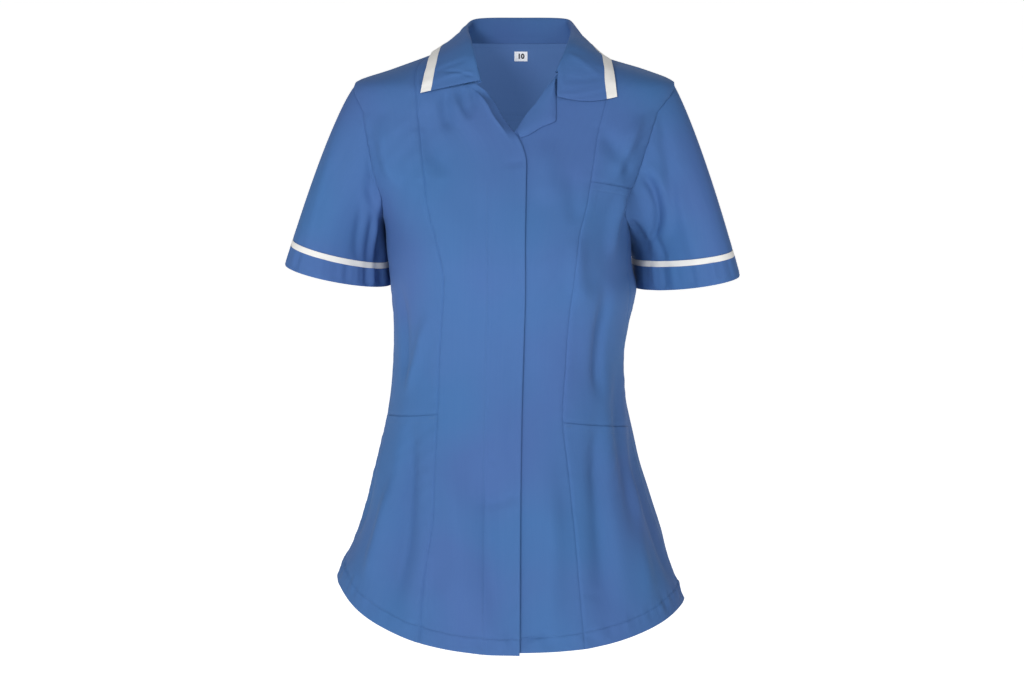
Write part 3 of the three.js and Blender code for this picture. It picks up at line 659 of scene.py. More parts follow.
def on_body(angle, level, out=0.0):
    """A point of the draped body, moved outwards."""
    angle, level = spread(angle, level)
    height = (fold_height(BODY_FOLDS, angle, level, DEGREE, 1, 360) + hem_turning(angle, level)
              + unevenness(angle, level) + out)
    return ring_point(angle, level) + body_normal(angle, level) * np.asarray(height)[..., None]


def angle_at(across, level, side=1):
    """The angle, in front or behind, at which the ring at a level passes a distance across."""
    across, level, side = spread(across, level, side)
    low, high = np.full(across.shape, -90.0), np.full(across.shape, 90.0)
    for _ in range(32):
        middle = (low + high) / 2
        angle = np.where(side > 0, middle, 180 - middle)
        short = ring_point(angle, level)[..., 0] < across
        low = np.where(short, middle, low)
        high = np.where(short, high, middle)
    return np.where(side > 0, low, 180 - low)


# ---- Seam lines: angles and levels at princess stations ----
def princess(side):
    return lambda station: (angle_at(getattr(read(PRINCESS, station), side), station), station)


def front_edge(outline):
    def line(station):
        row = read(outline, station)
        return angle_at(row.across, row.level), row.level
    return line


def side_line(side, face):
    """The side seam up to the underarm, then the armhole."""
    def seam(level):
        return read(SIDE_SEAM_LEFT, level).angle if side == "left" else 90 + 0 * level

    def line(station):
        station = np.asarray(station, float)
        row = vars(read(ARMHOLE, station))
        level = row[face + "_level"]
        swing = (seam(np.full(station.shape, float(UNDERARM))) - 90) * (
            1 - smooth(UNDERARM, ARMHOLE_FOOT, level))
        below = station <= UNDERARM
        angle = SIGN[side] * np.where(below, seam(station), row[face] + swing)
        if face == "back" and side == "right":
            angle = 360 + angle
        return angle, np.where(below, station, level)
    return line


# ---- Cloth shells ----
SHARP = math.radians(50)  # a shell's edges that turn more than this are drawn sharp
pieces = {}


def lengths(grid, axis):
    """The distance gone along a grid's columns or rows."""
    step = np.linalg.norm(np.diff(grid, axis=axis), axis=-1)
    start = np.zeros_like(np.take(step, [0], axis=axis))
    return np.concatenate([start, np.cumsum(step, axis=axis)], axis=axis)


def grid_normal(grid):
    return unit(np.cross(np.gradient(grid, axis=0), np.gradient(grid, axis=1)))


def quads(ids):
    """Faces between neighbours in a grid of point numbers. Turned over, it faces the other way."""
    return np.stack([ids[:-1, :-1], ids[1:, :-1], ids[1:, 1:], ids[:-1, 1:]], -1).reshape(-1, 4)


def shell(name, outer, inner, tube=False, materials=None):
    """One closed wall between two grids of points. A tube's last column joins its first."""
    columns, rows = outer.shape[:2]
    ids = np.arange(2 * columns * rows).reshape(2, columns, rows)
    if tube:
        ids = np.concatenate([ids, ids[:, :1]], 1)
    parts = [quads(ids[0]), quads(ids[1].T), quads(ids[:, :, 0]), quads(ids[:, :, -1].T)]
    if not tube:
        parts += [quads(ids[:, 0].T), quads(ids[:, -1])]
    faces = np.concatenate(parts)
    mesh = bpy.data.meshes.new(name + "_cloth")
    points = np.concatenate([outer.reshape(-1, 3), inner.reshape(-1, 3)])
    mesh.from_pydata((points * MM).tolist(), [], faces.tolist())
    for material in materials or (cloth_face, cloth_inside_painted_shade_glow):
        mesh.materials.append(material)
    # The inner faces take the inside material, with its painted shade and painted glow.
    painted_shade_inside = np.zeros(len(faces), int)
    painted_shade_inside[len(parts[0]):2 * len(parts[0])] = 1
    mesh.polygons.foreach_set("material_index", painted_shade_inside)
    mesh.shade_smooth()
    across = lengths(outer, 0)
    across = across - across[columns // 2]
    along = lengths(outer, 1)
    uv = np.stack([across, np.broadcast_to(along.mean(0), along.shape)], -1).reshape(-1, 2) * MM
    corners = np.empty(len(mesh.loops), int)
    mesh.loops.foreach_get("vertex_index", corners)
    layer = mesh.uv_layers.new(name="cloth")
    layer.data.foreach_set("uv", np.concatenate([uv, uv])[corners].ravel())
    mesh.set_sharp_from_angle(angle=SHARP)
    pieces[name] = put(name + "_cloth", mesh)


def spaced(low, high, pitch, fine=(), reach=4):
    """Even steps between two values, with closer ones beside each value in fine."""
    count = max(int(round((high - low) / pitch)), 2)
    values = list(np.linspace(low, high, count + 1))
    for centre in fine:
        values += [centre + d for d in (-reach, -2.4, -1.4, -0.7, 0, 0.7, 1.4, 2.4, reach)]
    values = sorted(v for v in values if low <= v <= high)
    kept = [values[0]]
    for v in values[1:]:
        if v - kept[-1] > 0.35:
            kept.append(v)
    kept[-1] = high
    return np.array(kept)


def between(stations, low, high):
    return np.concatenate([[low], stations[(stations > low) & (stations < high)], [high]])


def seam_edge(distance, along, pressed):
    """Height of a panel beside a seam: it turns down into it, and its turnings lie under it."""
    ridge = PRESSED.rise * smooth(0, 1.5, distance) * (
        1 - smooth(PRESSED.width - 2, PRESSED.width + 1, distance))
    return -SEAM.dip * bell(distance / SEAM.round) + pressed * ridge + pucker(along, distance)


def panel(name, start, end, stations, pitch=4, lift=None, stitch=None, seams=(), pressed=()):
    """A cut piece between two seam lines. stitch is the distance of a row of sewing from the
    end line. seams names the sewn sides and pressed those with turnings under them."""
    a, za = start(stations)
    b, zb = end(stations)
    width = np.linalg.norm(ring_point(a, za) - ring_point(b, zb), axis=-1)
    typical = float(np.median(width)) * 1.05
    fine = (0, typical) + ((typical - stitch, typical - TURN_IN.width) if stitch else ())
    u = (spaced(0, typical, pitch, fine) / typical)[:, None] + 0 * stations
    if stitch:
        share = np.clip(1 - stitch / width, 0.3, 0.95)
        knee = 1 - stitch / typical
        u = np.where(u < knee, u / knee * share, share + (u - knee) / (1 - knee) * (1 - share))
    angle = a + (b - a) * u
    level = za + (zb - za) * u
    up = lengths(ring_point(angle, level), 1)
    gap = {"start": u * width, "end": (1 - u) * width, "top": up[:, -1:] - up, "bottom": up}
    out = np.zeros(u.shape)
    for side in seams:
        along = gap["start"] if side == "top" else stations + 0 * u
        out += seam_edge(gap[side], along, side in pressed)
    if lift:
        out += lift(u, stations, angle, level)
    outer = on_body(angle, level, out)
    shell(name, outer, on_body(angle, level, out - CLOTH))
    return Fields(name=name, grid=outer, stations=stations, gap=gap)


# ---- Sewing ----
SEWING = {"stitches": (3.2, 2.5), "bartack": (0.9, 1.5)}  # from one stitch to the next, its length
SPUN = Fields(thickness=0.5, sink=0.12, unevenness=0.12)
BARTACK = Fields(rows=3, spread=0.9, start=2, half=5)
thread_rows = {}


def place_of(value, row):
    """The fractional places of values in a row of rising or falling numbers."""
    way = 1 if row[-1] > row[0] else -1
    return np.interp(value, row[::way], np.arange(len(row))[::way])


def at_place(grid, i, j):
    """Points of a grid at fractional columns i and rows j."""
    i, j = spread(i, j)
    a = np.clip(i.astype(int), 0, grid.shape[0] - 2)
    b = np.clip(j.astype(int), 0, grid.shape[1] - 2)
    u, v = (i - a)[:, None], (j - b)[:, None]
    return ((grid[a, b] * (1 - u) + grid[a + 1, b] * u) * (1 - v)
            + (grid[a, b + 1] * (1 - u) + grid[a + 1, b + 1] * u) * v)


def sew(name, grid, i, j, kind="stitches", side=1):
    """Keeps a row of stitches for a piece, along fractional columns i and rows j of a grid.
    side is -1 where the stitches show on the grid's other side."""
    out = unit(at_place(grid_normal(grid) * side, i, j))
    thread_rows.setdefault((name, kind), []).append((at_place(grid, i, j) - out * SPUN.sink, out))


def sew_up(cut, side, distance, low, high):
    """Stitches that run up a panel at a distance from its start or end, between two stations."""
    j = np.flatnonzero((cut.stations >= low) & (cut.stations <= high))
    sew(cut.name, cut.grid, [place_of(distance, cut.gap[side][:, row]) for row in j], j)


def sew_across(cut, side, distance, low=0.0, high=1.0):
    """Stitches that run across a panel at a distance from its bottom or top."""
    n = cut.grid.shape[0]
    i = np.linspace(low * (n - 1), high * (n - 1), 3 * n)
    columns = np.round(i).astype(int)
    sew(cut.name, cut.grid, i, [place_of(distance, cut.gap[side][k]) for k in columns])


def thread_tree():
    """A geometry tree that lays one stitch after another along each edge path of a mesh."""
    tree = bpy.data.node_groups.new("stitch rows", "GeometryNodeTree")
    kinds = {"Geometry": "Geometry", "Pitch": "Float", "Size": "Vector", "Least Share": "Float",
             "Seed": "Int", "Material": "Material"}
    for name, kind in kinds.items():
        tree.interface.new_socket(name, in_out="INPUT", socket_type="NodeSocket" + kind)
    tree.interface.new_socket("Geometry", in_out="OUTPUT", socket_type="NodeSocketGeometry")
    given = add(tree, "NodeGroupInput").outputs
    path = add(tree, "GeometryNodeMeshToCurve", Mesh=given["Geometry"])
    spots = add(tree, "GeometryNodeResampleCurve", {"mode": "LENGTH"}, Curve=path,
                Length=given["Pitch"])
    ball = add(tree, "GeometryNodeMeshUVSphere", {"Segments": 6, "Rings": 4, "Radius": 0.5})
    stitch = add(tree, "GeometryNodeTransform", Geometry=ball, Scale=given["Size"])
    way = add(tree, "GeometryNodeInputTangent")
    along = add(tree, "FunctionNodeAlignRotationToVector", {"axis": "X"}, Vector=way)
    out = add(tree, "GeometryNodeInputNamedAttribute", {"data_type": "FLOAT_VECTOR", "Name": "out"})
    turned = add(tree, "FunctionNodeAlignRotationToVector", {"axis": "Z", "pivot_axis": "X"},
                 Rotation=along, Vector=out)
    chance = add(tree, "FunctionNodeRandomValue", {"data_type": "FLOAT"},
                 n2=given["Least Share"], Seed=given["Seed"])
    placed = add(tree, "GeometryNodeInstanceOnPoints", Points=spots, Instance=stitch,
                 Rotation=turned, Scale=chance.outputs[1])
    real = add(tree, "GeometryNodeRealizeInstances", Geometry=placed)
    dressed = add(tree, "GeometryNodeSetMaterial", Geometry=real, Material=given["Material"])
    add(tree, "NodeGroupOutput", Geometry=dressed)
    return tree


def plain_mesh(source):
    """What an object is once its modifiers or its letters are worked out."""
    return bpy.data.meshes.new_from_object(
        source.evaluated_get(bpy.context.evaluated_depsgraph_get()))


def lay_threads():
    """Turns every kept row of stitches into thread, one piece for each cloth piece and kind."""
    tree = thread_tree()
    sockets = {item.name: item.identifier for item in tree.interface.items_tree
               if item.in_out == "INPUT"}
    made = {}
    for number, ((name, kind), rows) in enumerate(thread_rows.items()):
        points, out = (np.concatenate(part) for part in zip(*rows))
        edges, start = [], 0
        for row, _ in rows:
            edges += [(start + k, start + k + 1) for k in range(len(row) - 1)]
            start += len(row)
        mesh = bpy.data.meshes.new("thread path")
        mesh.from_pydata((points * MM).tolist(), edges, [])
        mesh.attributes.new("out", "FLOAT_VECTOR", "POINT").data.foreach_set("vector", out.ravel())
        path = put("thread path", mesh)
        nodes = path.modifiers.new("stitches", "NODES")
        nodes.node_group = tree
        pitch, length = SEWING[kind]
        values = {"Pitch": pitch * MM, "Seed": number, "Least Share": 1 - SPUN.unevenness,
                  "Size": (length * MM, SPUN.thickness * MM, SPUN.thickness * MM),
                  "Material": tape_thread if "trim" in name else blue_thread}
        for socket, value in values.items():
            nodes[sockets[socket]] = value
        shape = plain_mesh(path)
        path.modifiers.clear()
        bpy.data.objects.remove(path)
        shape.shade_smooth()
        shape.name = f"{name}_{kind}"
        made.setdefault(name, []).append(put(f"{name}_{kind}", shape))
    return made


# ---- Stations ----
SKIRT = spaced(HEM, HIP_POCKET.mouth, 4, (-702, HIP_POCKET.mouth))
TRUNK = spaced(HIP_POCKET.mouth, UNDERARM, 4, (HIP_POCKET.mouth,))
CHEST = spaced(UNDERARM, NECK_STATION, 4, (PLACKET.top, BREAST_POCKET.mouth, YOKE_STATION))
BODICE = np.unique(np.concatenate([TRUNK, CHEST]))
WHOLE = np.unique(np.concatenate([SKIRT, BODICE]))
ARM_STATIONS = spaced(UNDERARM, NECK_STATION, 2.5)


# ---- Fronts ----
def over_front_lift(u, station, angle, level):
    """Rises over the under front beside the placket edge, which hangs a little loose and has a
    pressed bead, and turns in at the neck edge."""
    edge_angle, edge_level = front_edge(OVER_EDGE)(station)
    distance = np.linalg.norm(ring_point(edge_angle, edge_level) - ring_point(angle, level), axis=-1)
    loose = 0.6 + 0.4 * np.sin(station / 37) + 0.8 * smooth(-420, -560, station)
    bead = EDGE_BEAD.rise * bell((distance - EDGE_BEAD.start) / EDGE_BEAD.width)
    lapped = (PLACKET.lift * (1 - smooth(UNDERLAP + 3, UNDERLAP + 26, distance))
              + loose * (1 - smooth(0, 15, distance)) + bead)
    sewn = smooth(PLACKET.top + 4, PLACKET.top - 4, station)
    groove = PLACKET.groove * sewn * bell((distance - PLACKET.width) / SEAM.round)
    neck = smooth(-108, -88, edge_level) * (1 - smooth(-60, -46, edge_level))
    return (lapped * (1 - smooth(-68, -46, edge_level)) - groove
            - neck * TURN_IN.depth * np.clip(1 - distance / TURN_IN.width, 0, 1) ** 0.85
            + neck * TURN_IN.rise * bell((distance - TURN_IN.width - 1.5) / 3.0))


def under_edge(station):
    """The under front's edge: its hem hangs a little higher than the over front's."""
    return front_edge(UNDER_EDGE)(station + UNDER_RISE * (1 - smooth(HEM, HEM + 40, station)))


def fronts():
    over = panel("centre_front_right", princess("right"), front_edge(OVER_EDGE), WHOLE,
                 lift=over_front_lift, stitch=PLACKET.width, seams=("start", "top"))
    under = panel("centre_front_left", under_edge, princess("left"), WHOLE, seams=("end", "top"))
    sew_up(over, "end", PLACKET.width, HEM, PLACKET.top)
    top = place_of(PLACKET.top, over.stations)
    ends = place_of([PLACKET.width + PLACKET.bar, PLACKET.width],
                    over.gap["end"][:, int(round(top))])
    sew("centre_front_right", over.grid, np.linspace(*ends, 12), top)
    for cut in (over, under):
        sew_across(cut, "bottom", HEM_TURNING.depth)


def pocket_sink(mouth):
    """What runs on behind a pocket lies a little deeper than the pocket does."""
    return lambda u, station, angle, level: -POCKET_SINK * (1 - smooth(mouth, mouth + 6, station))


def mouth_edge(mouth):
    """A pocket's mouth: its turned edge stands a little proud and eases open at the middle."""
    def lift(u, station, angle, level):
        depth = mouth - station
        turned = 1 - smooth(MOUTH.depth - 1, MOUTH.depth + 1, depth)
        groove = bell((depth - MOUTH.depth) / GROOVE)
        opened = np.sin(np.pi * u) * (1 - smooth(0, 30, depth))
        return MOUTH.rise * (turned - groove) + MOUTH.ease * opened
    return lift


def side_front(name, side, stations, lift, seams=("start", "end")):
    """A piece of a side front. Near a hip pocket's mouth its levels slope to the side seam."""
    def dropped(line, drop):
        def moved(station):
            near = 1 - smooth(0, 120, np.abs(station - HIP_POCKET.mouth))
            return line(station - drop * near)
        return moved

    ends = [dropped(princess(side), HIP_MOUTH[side][0]),
            dropped(side_line(side, "front"), HIP_MOUTH[side][1])][::SIGN[side]]
    pressed = ("start",) if side == "left" else ("end",)
    return panel(name, *ends, stations, lift=lift, seams=seams, pressed=pressed)


def bartack(cut, place):
    """A short bar of close stitches that ends a pocket's mouth beside the princess seam."""
    n = cut.grid.shape[0] - 1
    share = BARTACK.half / cut.gap["end"].max()
    i = np.linspace((place - share) * n, (place + share) * n, 14)
    for k in range(BARTACK.rows):
        distance = BARTACK.start + k * BARTACK.spread
        j = [place_of(distance, cut.gap["top"][c]) for c in np.round(i).astype(int)]
        sew(cut.name, cut.grid, i, j, "bartack")


def side_fronts():
    hip, breast = HIP_POCKET.mouth, BREAST_POCKET.mouth
    hip_back = between(SKIRT, hip - HIP_POCKET.depth, hip)
    breast_back = between(BODICE, breast - BREAST_POCKET.depth, breast)
    sewn = ("start", "end", "top")

    def joined(low, high):
        return np.unique(np.concatenate([low, high]))

    def pocket_between(u, station, angle, level):
        place = (u, station, angle, level)
        return pocket_sink(hip)(*place) + mouth_edge(breast)(*place)

    side_front("side_front_right", "right", joined(hip_back, between(BODICE, hip, NECK_STATION)),
               pocket_sink(hip), sewn)
    right = side_front("hip_pocket_right", "right", between(SKIRT, HEM, hip), mouth_edge(hip))
    side_front("side_front_left", "left", joined(breast_back, between(BODICE, breast, NECK_STATION)),
               pocket_sink(breast), sewn)
    chest = side_front("breast_pocket_left", "left",
                       joined(hip_back, between(BODICE, hip, breast)), pocket_between)
    left = side_front("hip_pocket_left", "left", between(SKIRT, HEM, hip), mouth_edge(hip))
    for cut in (right, chest, left):
        sew_across(cut, "top", MOUTH.depth, 0.03, 0.97)
    for cut in (right, left):
        sew_across(cut, "bottom", HEM_TURNING.depth)
    bartack(right, 0.9)
    bartack(left, 0.1)


# ---- Back ----
# The yoke's turnings make its inside this much thicker at the foot and the neck, and its rows of
# stitches lie this far from the foot, outside and inside, and from the neck.
YOKE = Fields(turnings=(1.1, 0.6), seam_row=4, inside_row=8, neck_row=9)


def back():
    cut = panel("back", side_line("left", "back"), side_line("right", "back"),
                between(WHOLE, HEM, YOKE_STATION), 6, seams=("start", "end", "top"))
    sew_across(cut, "bottom", HEM_TURNING.depth)


def stretched(left, right, top, u, v):
    """Values inside a patch, from those up its left and right sides and along its top."""
    bend = top[:, None] - top[0] * (1 - u) - top[-1] * u
    return left * (1 - u) + right * u + bend * v


def back_yoke():
    """Its top runs up one shoulder seam, round the back of the neck and down the other."""
    stations = between(CHEST, YOKE_STATION, NECK_STATION)
    shoulder = spaced(SHOULDER_POINT, 0, 3, (SHOULDER_POINT, 0), 2)
    neck = np.linspace(90, 270, 40)[1:-1]
    neck_level = -NECK_DROP * np.sin(np.radians(neck - 90))
    crown = (np.concatenate([np.full(len(shoulder), 90.0), neck, np.full(len(shoulder), 270.0)]),
             np.concatenate([shoulder, neck_level, shoulder[::-1]]))
    u = np.linspace(0, 1, len(crown[0]))[:, None]
    v = np.linspace(0, 1, len(stations))[None, :]
    sides = [side_line(side, "back")(stations) for side in ("left", "right")]
    angle, level = (stretched(left, right, over, u, v) for left, right, over in zip(*sides, crown))
    level = np.minimum(level, 0)
    base = ring_point(angle, level)
    up, across = lengths(base, 1), lengths(base, 0)
    down = up[:, -1:] - up
    out = (seam_edge(up, across, True) + seam_edge(down, across, False)
           + seam_edge(across, level, False) + seam_edge(across[-1:] - across, level, False))
    foot, top = YOKE.turnings
    turned = foot * (1 - smooth(9, 10.5, up)) + top * (1 - smooth(9, 10.5, down))
    outer, inner = on_body(angle, level, out), on_body(angle, level, out - CLOTH - turned)
    shell("back_yoke", outer, inner)
    n = len(u) - 1
    i = np.linspace(0, n, 3 * n)
    columns = np.round(i).astype(int)
    sew("back_yoke", outer, i, [place_of(YOKE.seam_row, up[k]) for k in columns])
    sew("back_yoke", inner, i, [place_of(YOKE.inside_row, up[k]) for k in columns], side=-1)
    high = np.array([place_of(up[k, -1] - YOKE.neck_row, up[k]) for k in columns])
    middle = (i > n * 0.3) & (i < n * 0.7)
    sew("back_yoke", inner, i[middle], high[middle], side=-1)


# ---- Revere ----
def revere():
    along = np.linspace(0, 5, 46)
    u = spaced(0, 30, 1.5, (0, 30))[:, None] / 30
    row = read(REVERE_EDGES, along)
    across = row.rollX + (row.freeX - row.rollX) * u
    level = row.rollZ + (row.freeZ - row.rollZ) * u
    angle = angle_at(across, level)
    out = REVERE.clear + REVERE.rise * np.sin(REVERE.turn * np.pi * u) + 0 * along
    shell("revere_left", on_body(angle, level, out + REVERE.cloth), on_body(angle, level, out))


# ---- Sleeves ----
HEAD_TUCK = Fields(back=2.0, under=1.7)  # the sleeve's turning lies under the armhole's edge
# How the sleeve leaves the armhole and meets the tape, from the underarm up to the shoulder
HEAD = Fields(out=0.25, lean={"right": 0.5, "left": 0.27}, down=0.85, handle=0.12,
              growth=0.05, trim_handle=0.4)
HEAD_GROOVE = Fields(depth=0.9, start=3, width=2.2)
TAPE = Fields(rise=0.35, thickness=0.9, rows=(0.3, 1.7))
CUFF = Fields(depth=25, gap=0.05, thickness=1.0, fullness=0.9)


def ring_end(side, ring, turn):
    """The end ring's point. turn runs from 0 at the outside through 90 in front."""
    across, level, radius, tilt, depth, forward, swing, dip = SLEEVE_RINGS[side, ring]
    tilt = math.radians(tilt)
    c, s = cos_sin(turn)
    return np.stack([across + SIGN[side] * math.cos(tilt) * radius * c,
                     -forward - depth * s - swing * c,
                     level + math.sin(tilt) * radius * c - dip * np.maximum(s, 0)], -1)


def bezier(a, b, c, d, t):
    t = np.asarray(t)[..., None]
    return a * (1 - t) ** 3 + 3 * b * t * (1 - t) ** 2 + 3 * c * t * t * (1 - t) + d * t ** 3


def sleeve_lines(side):
    """Lines that start round the armhole and end on the cuff."""
    around = []
    for face, stations, way in (("front", ARM_STATIONS[:0:-1], 1), ("back", ARM_STATIONS[:-1], -1)):
        angle, level = side_line(side, face)(stations)
        up = (level - UNDERARM) / (SHOULDER_POINT - UNDERARM)
        turn = way * np.degrees(np.arccos(np.clip(2 * up - 1, -1, 1)))
        around.append((on_body(angle, level), body_normal(angle, level), turn, up))
    seam, out, turn, height = (np.concatenate(part) for part in zip(*around))
    trim, cuff = ring_end(side, "trim", turn), ring_end(side, "cuff", turn)
    down = unit(cuff - trim)
    lean = unit(np.stack([SIGN[side] * (HEAD.out + HEAD.lean[side] * height), 0 * height,
                          -HEAD.down + 0 * height], -1))
    along_body = unit(lean - out * np.sum(lean * out, -1, keepdims=True))
    first = seam - HEAD_TUCK.back * along_body - HEAD_TUCK.under * out
    length = np.linalg.norm(first - trim, axis=-1)
    handles = (first, first + lean * (length * (HEAD.handle + HEAD.growth * height))[:, None],
               trim - down * (HEAD.trim_handle * length)[:, None], trim)
    return Fields(handles=handles, trim=trim, cuff=cuff, down=down, turn=turn)


def sleeve_fold(side, turn, share):
    return fold_height(SLEEVE_FOLDS[side], turn, share, 1, SLEEVE_LENGTH, 360)


def tube(name, side, grid, out, thickness, materials=None):
    """A closed tube whose rows run up to the armhole. Gives its outside in the grid's order."""
    way = -SIGN[side]
    grid, out = grid[::way], out[::way]
    across = np.roll(grid, -1, 0) - np.roll(grid, 1, 0)
    normal = unit(np.cross(across, np.gradient(grid, axis=1)))
    outer = grid + normal * out[..., None]
    shell(name, outer, outer - normal * thickness, True, materials)
    return outer[::way]


def sleeve_set(side):
    lines = sleeve_lines(side)
    a, b, c, d = (part[:, None, :] for part in lines.handles)
    share = (1 - spaced(0, SLEEVE_LENGTH, 4, (0, SLEEVE_LENGTH)) / SLEEVE_LENGTH)[None, :]
    turn = lines.turn[:, None]
    length = np.linalg.norm(a[:, 0] - d[:, 0], axis=-1)[:, None]
    from_head, from_trim = share * length, (1 - share) * length
    groove = -HEAD_GROOVE.depth * bell((from_head - HEAD_GROOVE.start) / HEAD_GROOVE.width)
    folds = sleeve_fold(side, turn, share) + pucker(turn, from_trim, 0.2)
    out = folds * smooth(0, 14, from_head) + groove - 0.5 * bell(from_trim / SEAM.round)
    tube(f"sleeve_{side}", side, bezier(a, b, c, d, share), out, CLOTH)
    end = sleeve_fold(side, turn, np.array([[1.0]]))
    steps = np.array([SLEEVE_TRIM, SLEEVE_TRIM / 2, 0])
    band = lines.trim[:, None, :] + lines.down[:, None, :] * steps[None, :, None]
    outer = tube(f"sleeve_trim_{side}", side, band, end + TAPE.rise + 0 * steps[None, :],
                 TAPE.thickness, (tape, tape))
    closed = np.concatenate([outer, outer[:1]])
    for row in TAPE.rows:
        sew(f"sleeve_trim_{side}", closed, np.arange(len(closed)), row, side=-SIGN[side])
    start = lines.trim + lines.down * (SLEEVE_TRIM + CUFF.gap)
    t = np.linspace(1, 0, 11)[None, :]
    cuff = start[:, None, :] + (lines.cuff - start)[:, None, :] * t[..., None]
    gathers = sum(height * bell((turn - place) / width)
                  for place, width, height in CUFF_GATHERS[side])
    ripple = pucker(turn, 6 + 0 * t, 0.4) + CUFF.fullness * gathers
    tube(f"cuff_{side}", side, cuff, end + ripple * smooth(0, 6, CUFF.depth * (1 - t)),
         CUFF.thickness)


# ---- Collar ----
NECK_TURNING = Fields(inside=1.3, down=3)  # the stand's seam edge lies inside the yoke's
COLLAR_TAPE = Fields(clear=0.02, thickness=0.43, rows=(0.8, 7.2))


def collar_edges():
    """The fall's outer edge as angles and levels, from the right front round to the left."""
    station = np.concatenate([np.arange(0, 3, 0.25), np.arange(3, 12), np.arange(11.25, 14.1, 0.25)])
    row = read(COLLAR, station)
    behind = (station > 3.5) & (station < 10.5)
    angle = angle_at(row.edgeX, row.edgeZ, np.where(behind, -1, 1))
    angle = np.where(angle < 0, angle + 360, angle)
    return Fields(names=["station", "angle", "level"],
                 rows=np.stack([station, angle, row.edgeZ], -1))


def collar_end(row, t):
    """The left front end drops straight from the fold to a corner, then runs out to its tip."""
    e = COLLAR_END
    first = t < e.share
    k = np.where(first, t / e.share, (t - e.share) / (1 - e.share))

    def mix(a, b):
        return a + (b - a) * k

    fold_x, fold_z, edge_x, edge_z = (
        value[:, None] for value in (row.foldX, row.foldZ, row.edgeX, row.edgeZ))
    x = np.where(first, mix(fold_x, e.across), mix(e.across, edge_x))
    z = np.where(first, mix(fold_z, e.level),
                 mix(e.level, edge_z) - e.bow * np.sin(np.pi * k))
    z = np.minimum(z, 0)
    return on_body(angle_at(x, z), z, COLLAR_LIFT + e.lift * (1 - t) ** 2)


def collar_section(station, steps):
    """The collar's under face: up the stand from the neck seam, over the fold, down the fall."""
    row = read(COLLAR, station)
    neck = np.stack([row.neckX, row.neckY, row.neckZ], -1)
    fold = np.stack([row.foldX, row.foldY, row.foldZ], -1)
    place = read(collar_edges(), station)
    edge = on_body(place.angle, place.level, COLLAR_LIFT)
    outward = unit((edge - fold) * [1, 1, 0])
    rise = fold - neck
    curve = COLLAR_CURVE
    roll = np.minimum(
        curve.full, curve.least + np.linalg.norm(rise, axis=-1) * curve.growth)[:, None]
    tuck = fold - outward * roll * curve.tuck - roll * curve.dip * [0, 0, 1]
    normal = body_normal(place.angle, place.level)
    leave = edge - (edge - fold) * curve.ease + normal * curve.bow
    t = np.asarray(steps)[None, :]

    def swept(points, share):
        return bezier(*(part[:, None, :] for part in points), np.clip(share, 0, 1))

    stand = swept((neck, neck + rise * curve.stand, tuck, fold), 1 + t)
    fall = swept((fold, fold + outward * roll, leave, edge), t)
    cut = smooth(COLLAR_END.start, COLLAR_LAST, np.asarray(station))[:, None, None]
    fall = fall + (collar_end(row, np.clip(t, 0, 1)) - fall) * cut
    return np.where(t[..., None] < 0, stand, fall)


def tape_strip(stations):
    """The band along the fall's outer edge, of the same width all the way round."""
    face = collar_section(stations, np.linspace(0.4, 1, 121))
    arc = lengths(face, 1)
    steps = np.linspace(COLLAR_TRIM, 0, 9)
    places = np.array([place_of(steps, row[-1] - row) for row in arc])
    columns = np.repeat(np.arange(len(stations)), len(steps))
    return at_place(face, columns, places.ravel()).reshape(len(stations), len(steps), 3)


def creased(base, normal, stations, share):
    """The collar's face with its creases and the slight roll of its fall."""
    station, t = stations[:, None], share[None, :]
    roll = 0.35 * np.sin(station * 2.3) * np.sin(station * 5.1 + 3 * t)
    height = fold_height(COLLAR_CREASES, station, t, COLLAR_STEP, FALL) + roll
    return base + normal * (height * smooth(0, 0.3, t))[..., None]


def collar():
    stations = np.linspace(0, COLLAR_LAST, 141)
    steps = np.concatenate([np.linspace(-1, 0, 13)[:-1], np.linspace(0, 1, 37)])
    base = collar_section(stations, steps)
    normal = grid_normal(base)
    base = creased(base, normal, stations, steps)
    behind = (smooth(2, 4, stations) * (1 - smooth(10, 12, stations)))[:, None]
    base[:, 0] += behind * (NECK_TURNING.inside * normal[:, 0] - [0, 0, NECK_TURNING.down])
    under, over = COLLAR_CLOTH.under, COLLAR_CLOTH.over
    shell("collar", base + normal * over, base + normal * under, materials=(cloth_face, cloth_face))
    base = tape_strip(stations)
    normal = grid_normal(base)
    base = creased(base, normal, stations, 1 - np.linspace(COLLAR_TRIM, 0, base.shape[1]) / FALL)
    inner = over + COLLAR_TAPE.clear
    outer = base + normal * (inner + COLLAR_TAPE.thickness)
    shell("collar_trim", outer, base + normal * inner, materials=(tape, tape))
    for row in COLLAR_TAPE.rows:
        sew("collar_trim", outer, np.arange(1, len(stations) - 1), row)


# ---- Size label ----
def size_label():
    """The label lies on the yoke's inside. Gives its number."""
    xs = np.linspace(LABEL.width / 2, -LABEL.width / 2, 9) + LABEL.across
    levels = np.linspace(LABEL.top - LABEL.height, LABEL.top, 7)
    x, z = np.meshgrid(xs, levels, indexing="ij")
    angle = angle_at(x, z, -1)
    depth = CLOTH + LABEL.clear
    shell("size_label", on_body(angle, z, -depth), on_body(angle, z, -depth - LABEL.thickness),
          materials=(label_tape_painted_glow, label_tape_painted_glow))
    return label_number(depth + LABEL.thickness)


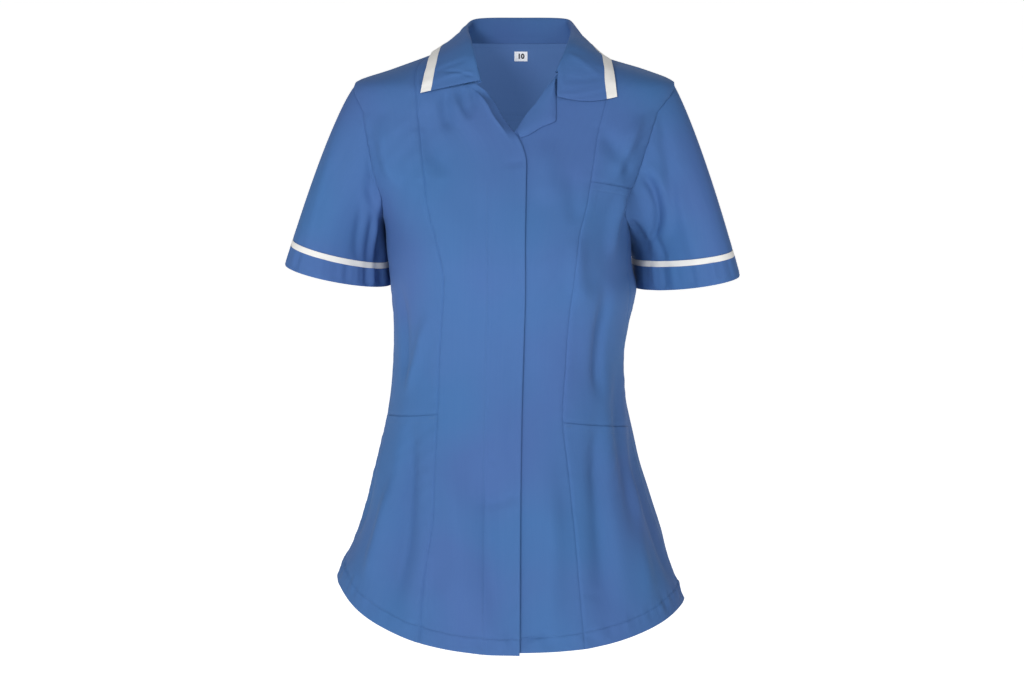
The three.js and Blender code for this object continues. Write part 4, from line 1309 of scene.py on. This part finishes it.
def label_number(depth):
    """The size, woven in black: a plain number bent onto the label's inner face."""
    words = bpy.data.curves.new("size number", "FONT")
    words.body = LABEL.number
    words.align_x, words.align_y = "CENTER", "CENTER"
    words.size = LABEL.figures
    words.offset = LABEL.boldness
    words.resolution_u = 3
    source = put("size number", words)
    mesh = plain_mesh(source)
    bpy.data.objects.remove(source)
    flat = np.array([tuple(v.co) for v in mesh.vertices])
    z = LABEL.top - LABEL.height / 2 + flat[:, 1]
    angle = angle_at(LABEL.across + flat[:, 0], z, -1)
    for vertex, place in zip(mesh.vertices, on_body(angle, z, -depth - LABEL.number_clear)):
        vertex.co = place * MM
    mesh.materials.clear()
    mesh.materials.append(label_ink)
    mesh.name = "size_label_number"
    return put("size_label_number", mesh)


# ---- Cut sizes of what shows: width, length, flat area, how it is held, what it hangs from ----
CUTS = """
centre_front_right 130 796 81000 hung back_yoke
centre_front_left 118 794 73700 hung back_yoke
side_front_right 172 600 71900 hung back_yoke
hip_pocket_right 202 238 40200 hung side_front_right
side_front_left 118 323 26900 hung back_yoke
breast_pocket_left 164 433 50700 hung side_front_left
hip_pocket_left 194 249 40800 hung breast_pocket_left
back 564 607 259000 hung back_yoke
back_yoke 484 150 48800 draped
revere_left 32 87 1780 folded centre_front_left
sleeve_right 452 131 45200 hung side_front_right
sleeve_trim_right 426 10 2980 hung sleeve_right
cuff_right 402 23 9240 gathered sleeve_trim_right
sleeve_left 476 144 52200 hung side_front_left
sleeve_trim_left 450 10 3150 hung sleeve_left
cuff_left 419 27 11300 gathered sleeve_trim_left
collar 495 81 35000 folded back_yoke
collar_trim 494 13 6420 folded collar
size_label 17 13 215 hung back_yoke
"""

camera()
studio()
floor()
fronts()
side_fronts()
back()
back_yoke()
revere()
sleeve_set("right")
sleeve_set("left")
collar()
label_figures = size_label()
sewn_on = lay_threads()
sewn_on["size_label"] = [label_figures]

for line in CUTS.strip().splitlines():
    name, width, length, area, held, *carriers = line.split()
    piece = pieces[name]
    if name == "size_label":
        finish = "size_label"
    else:
        finish = "trim_tape" if "trim" in name else "tunic_cloth"
    extras = sewn_on.get(name, [])
    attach(piece, "root")
    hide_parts(name)
    for extra in extras:
        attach(extra, "root")
    [pieces[other] for other in carriers]
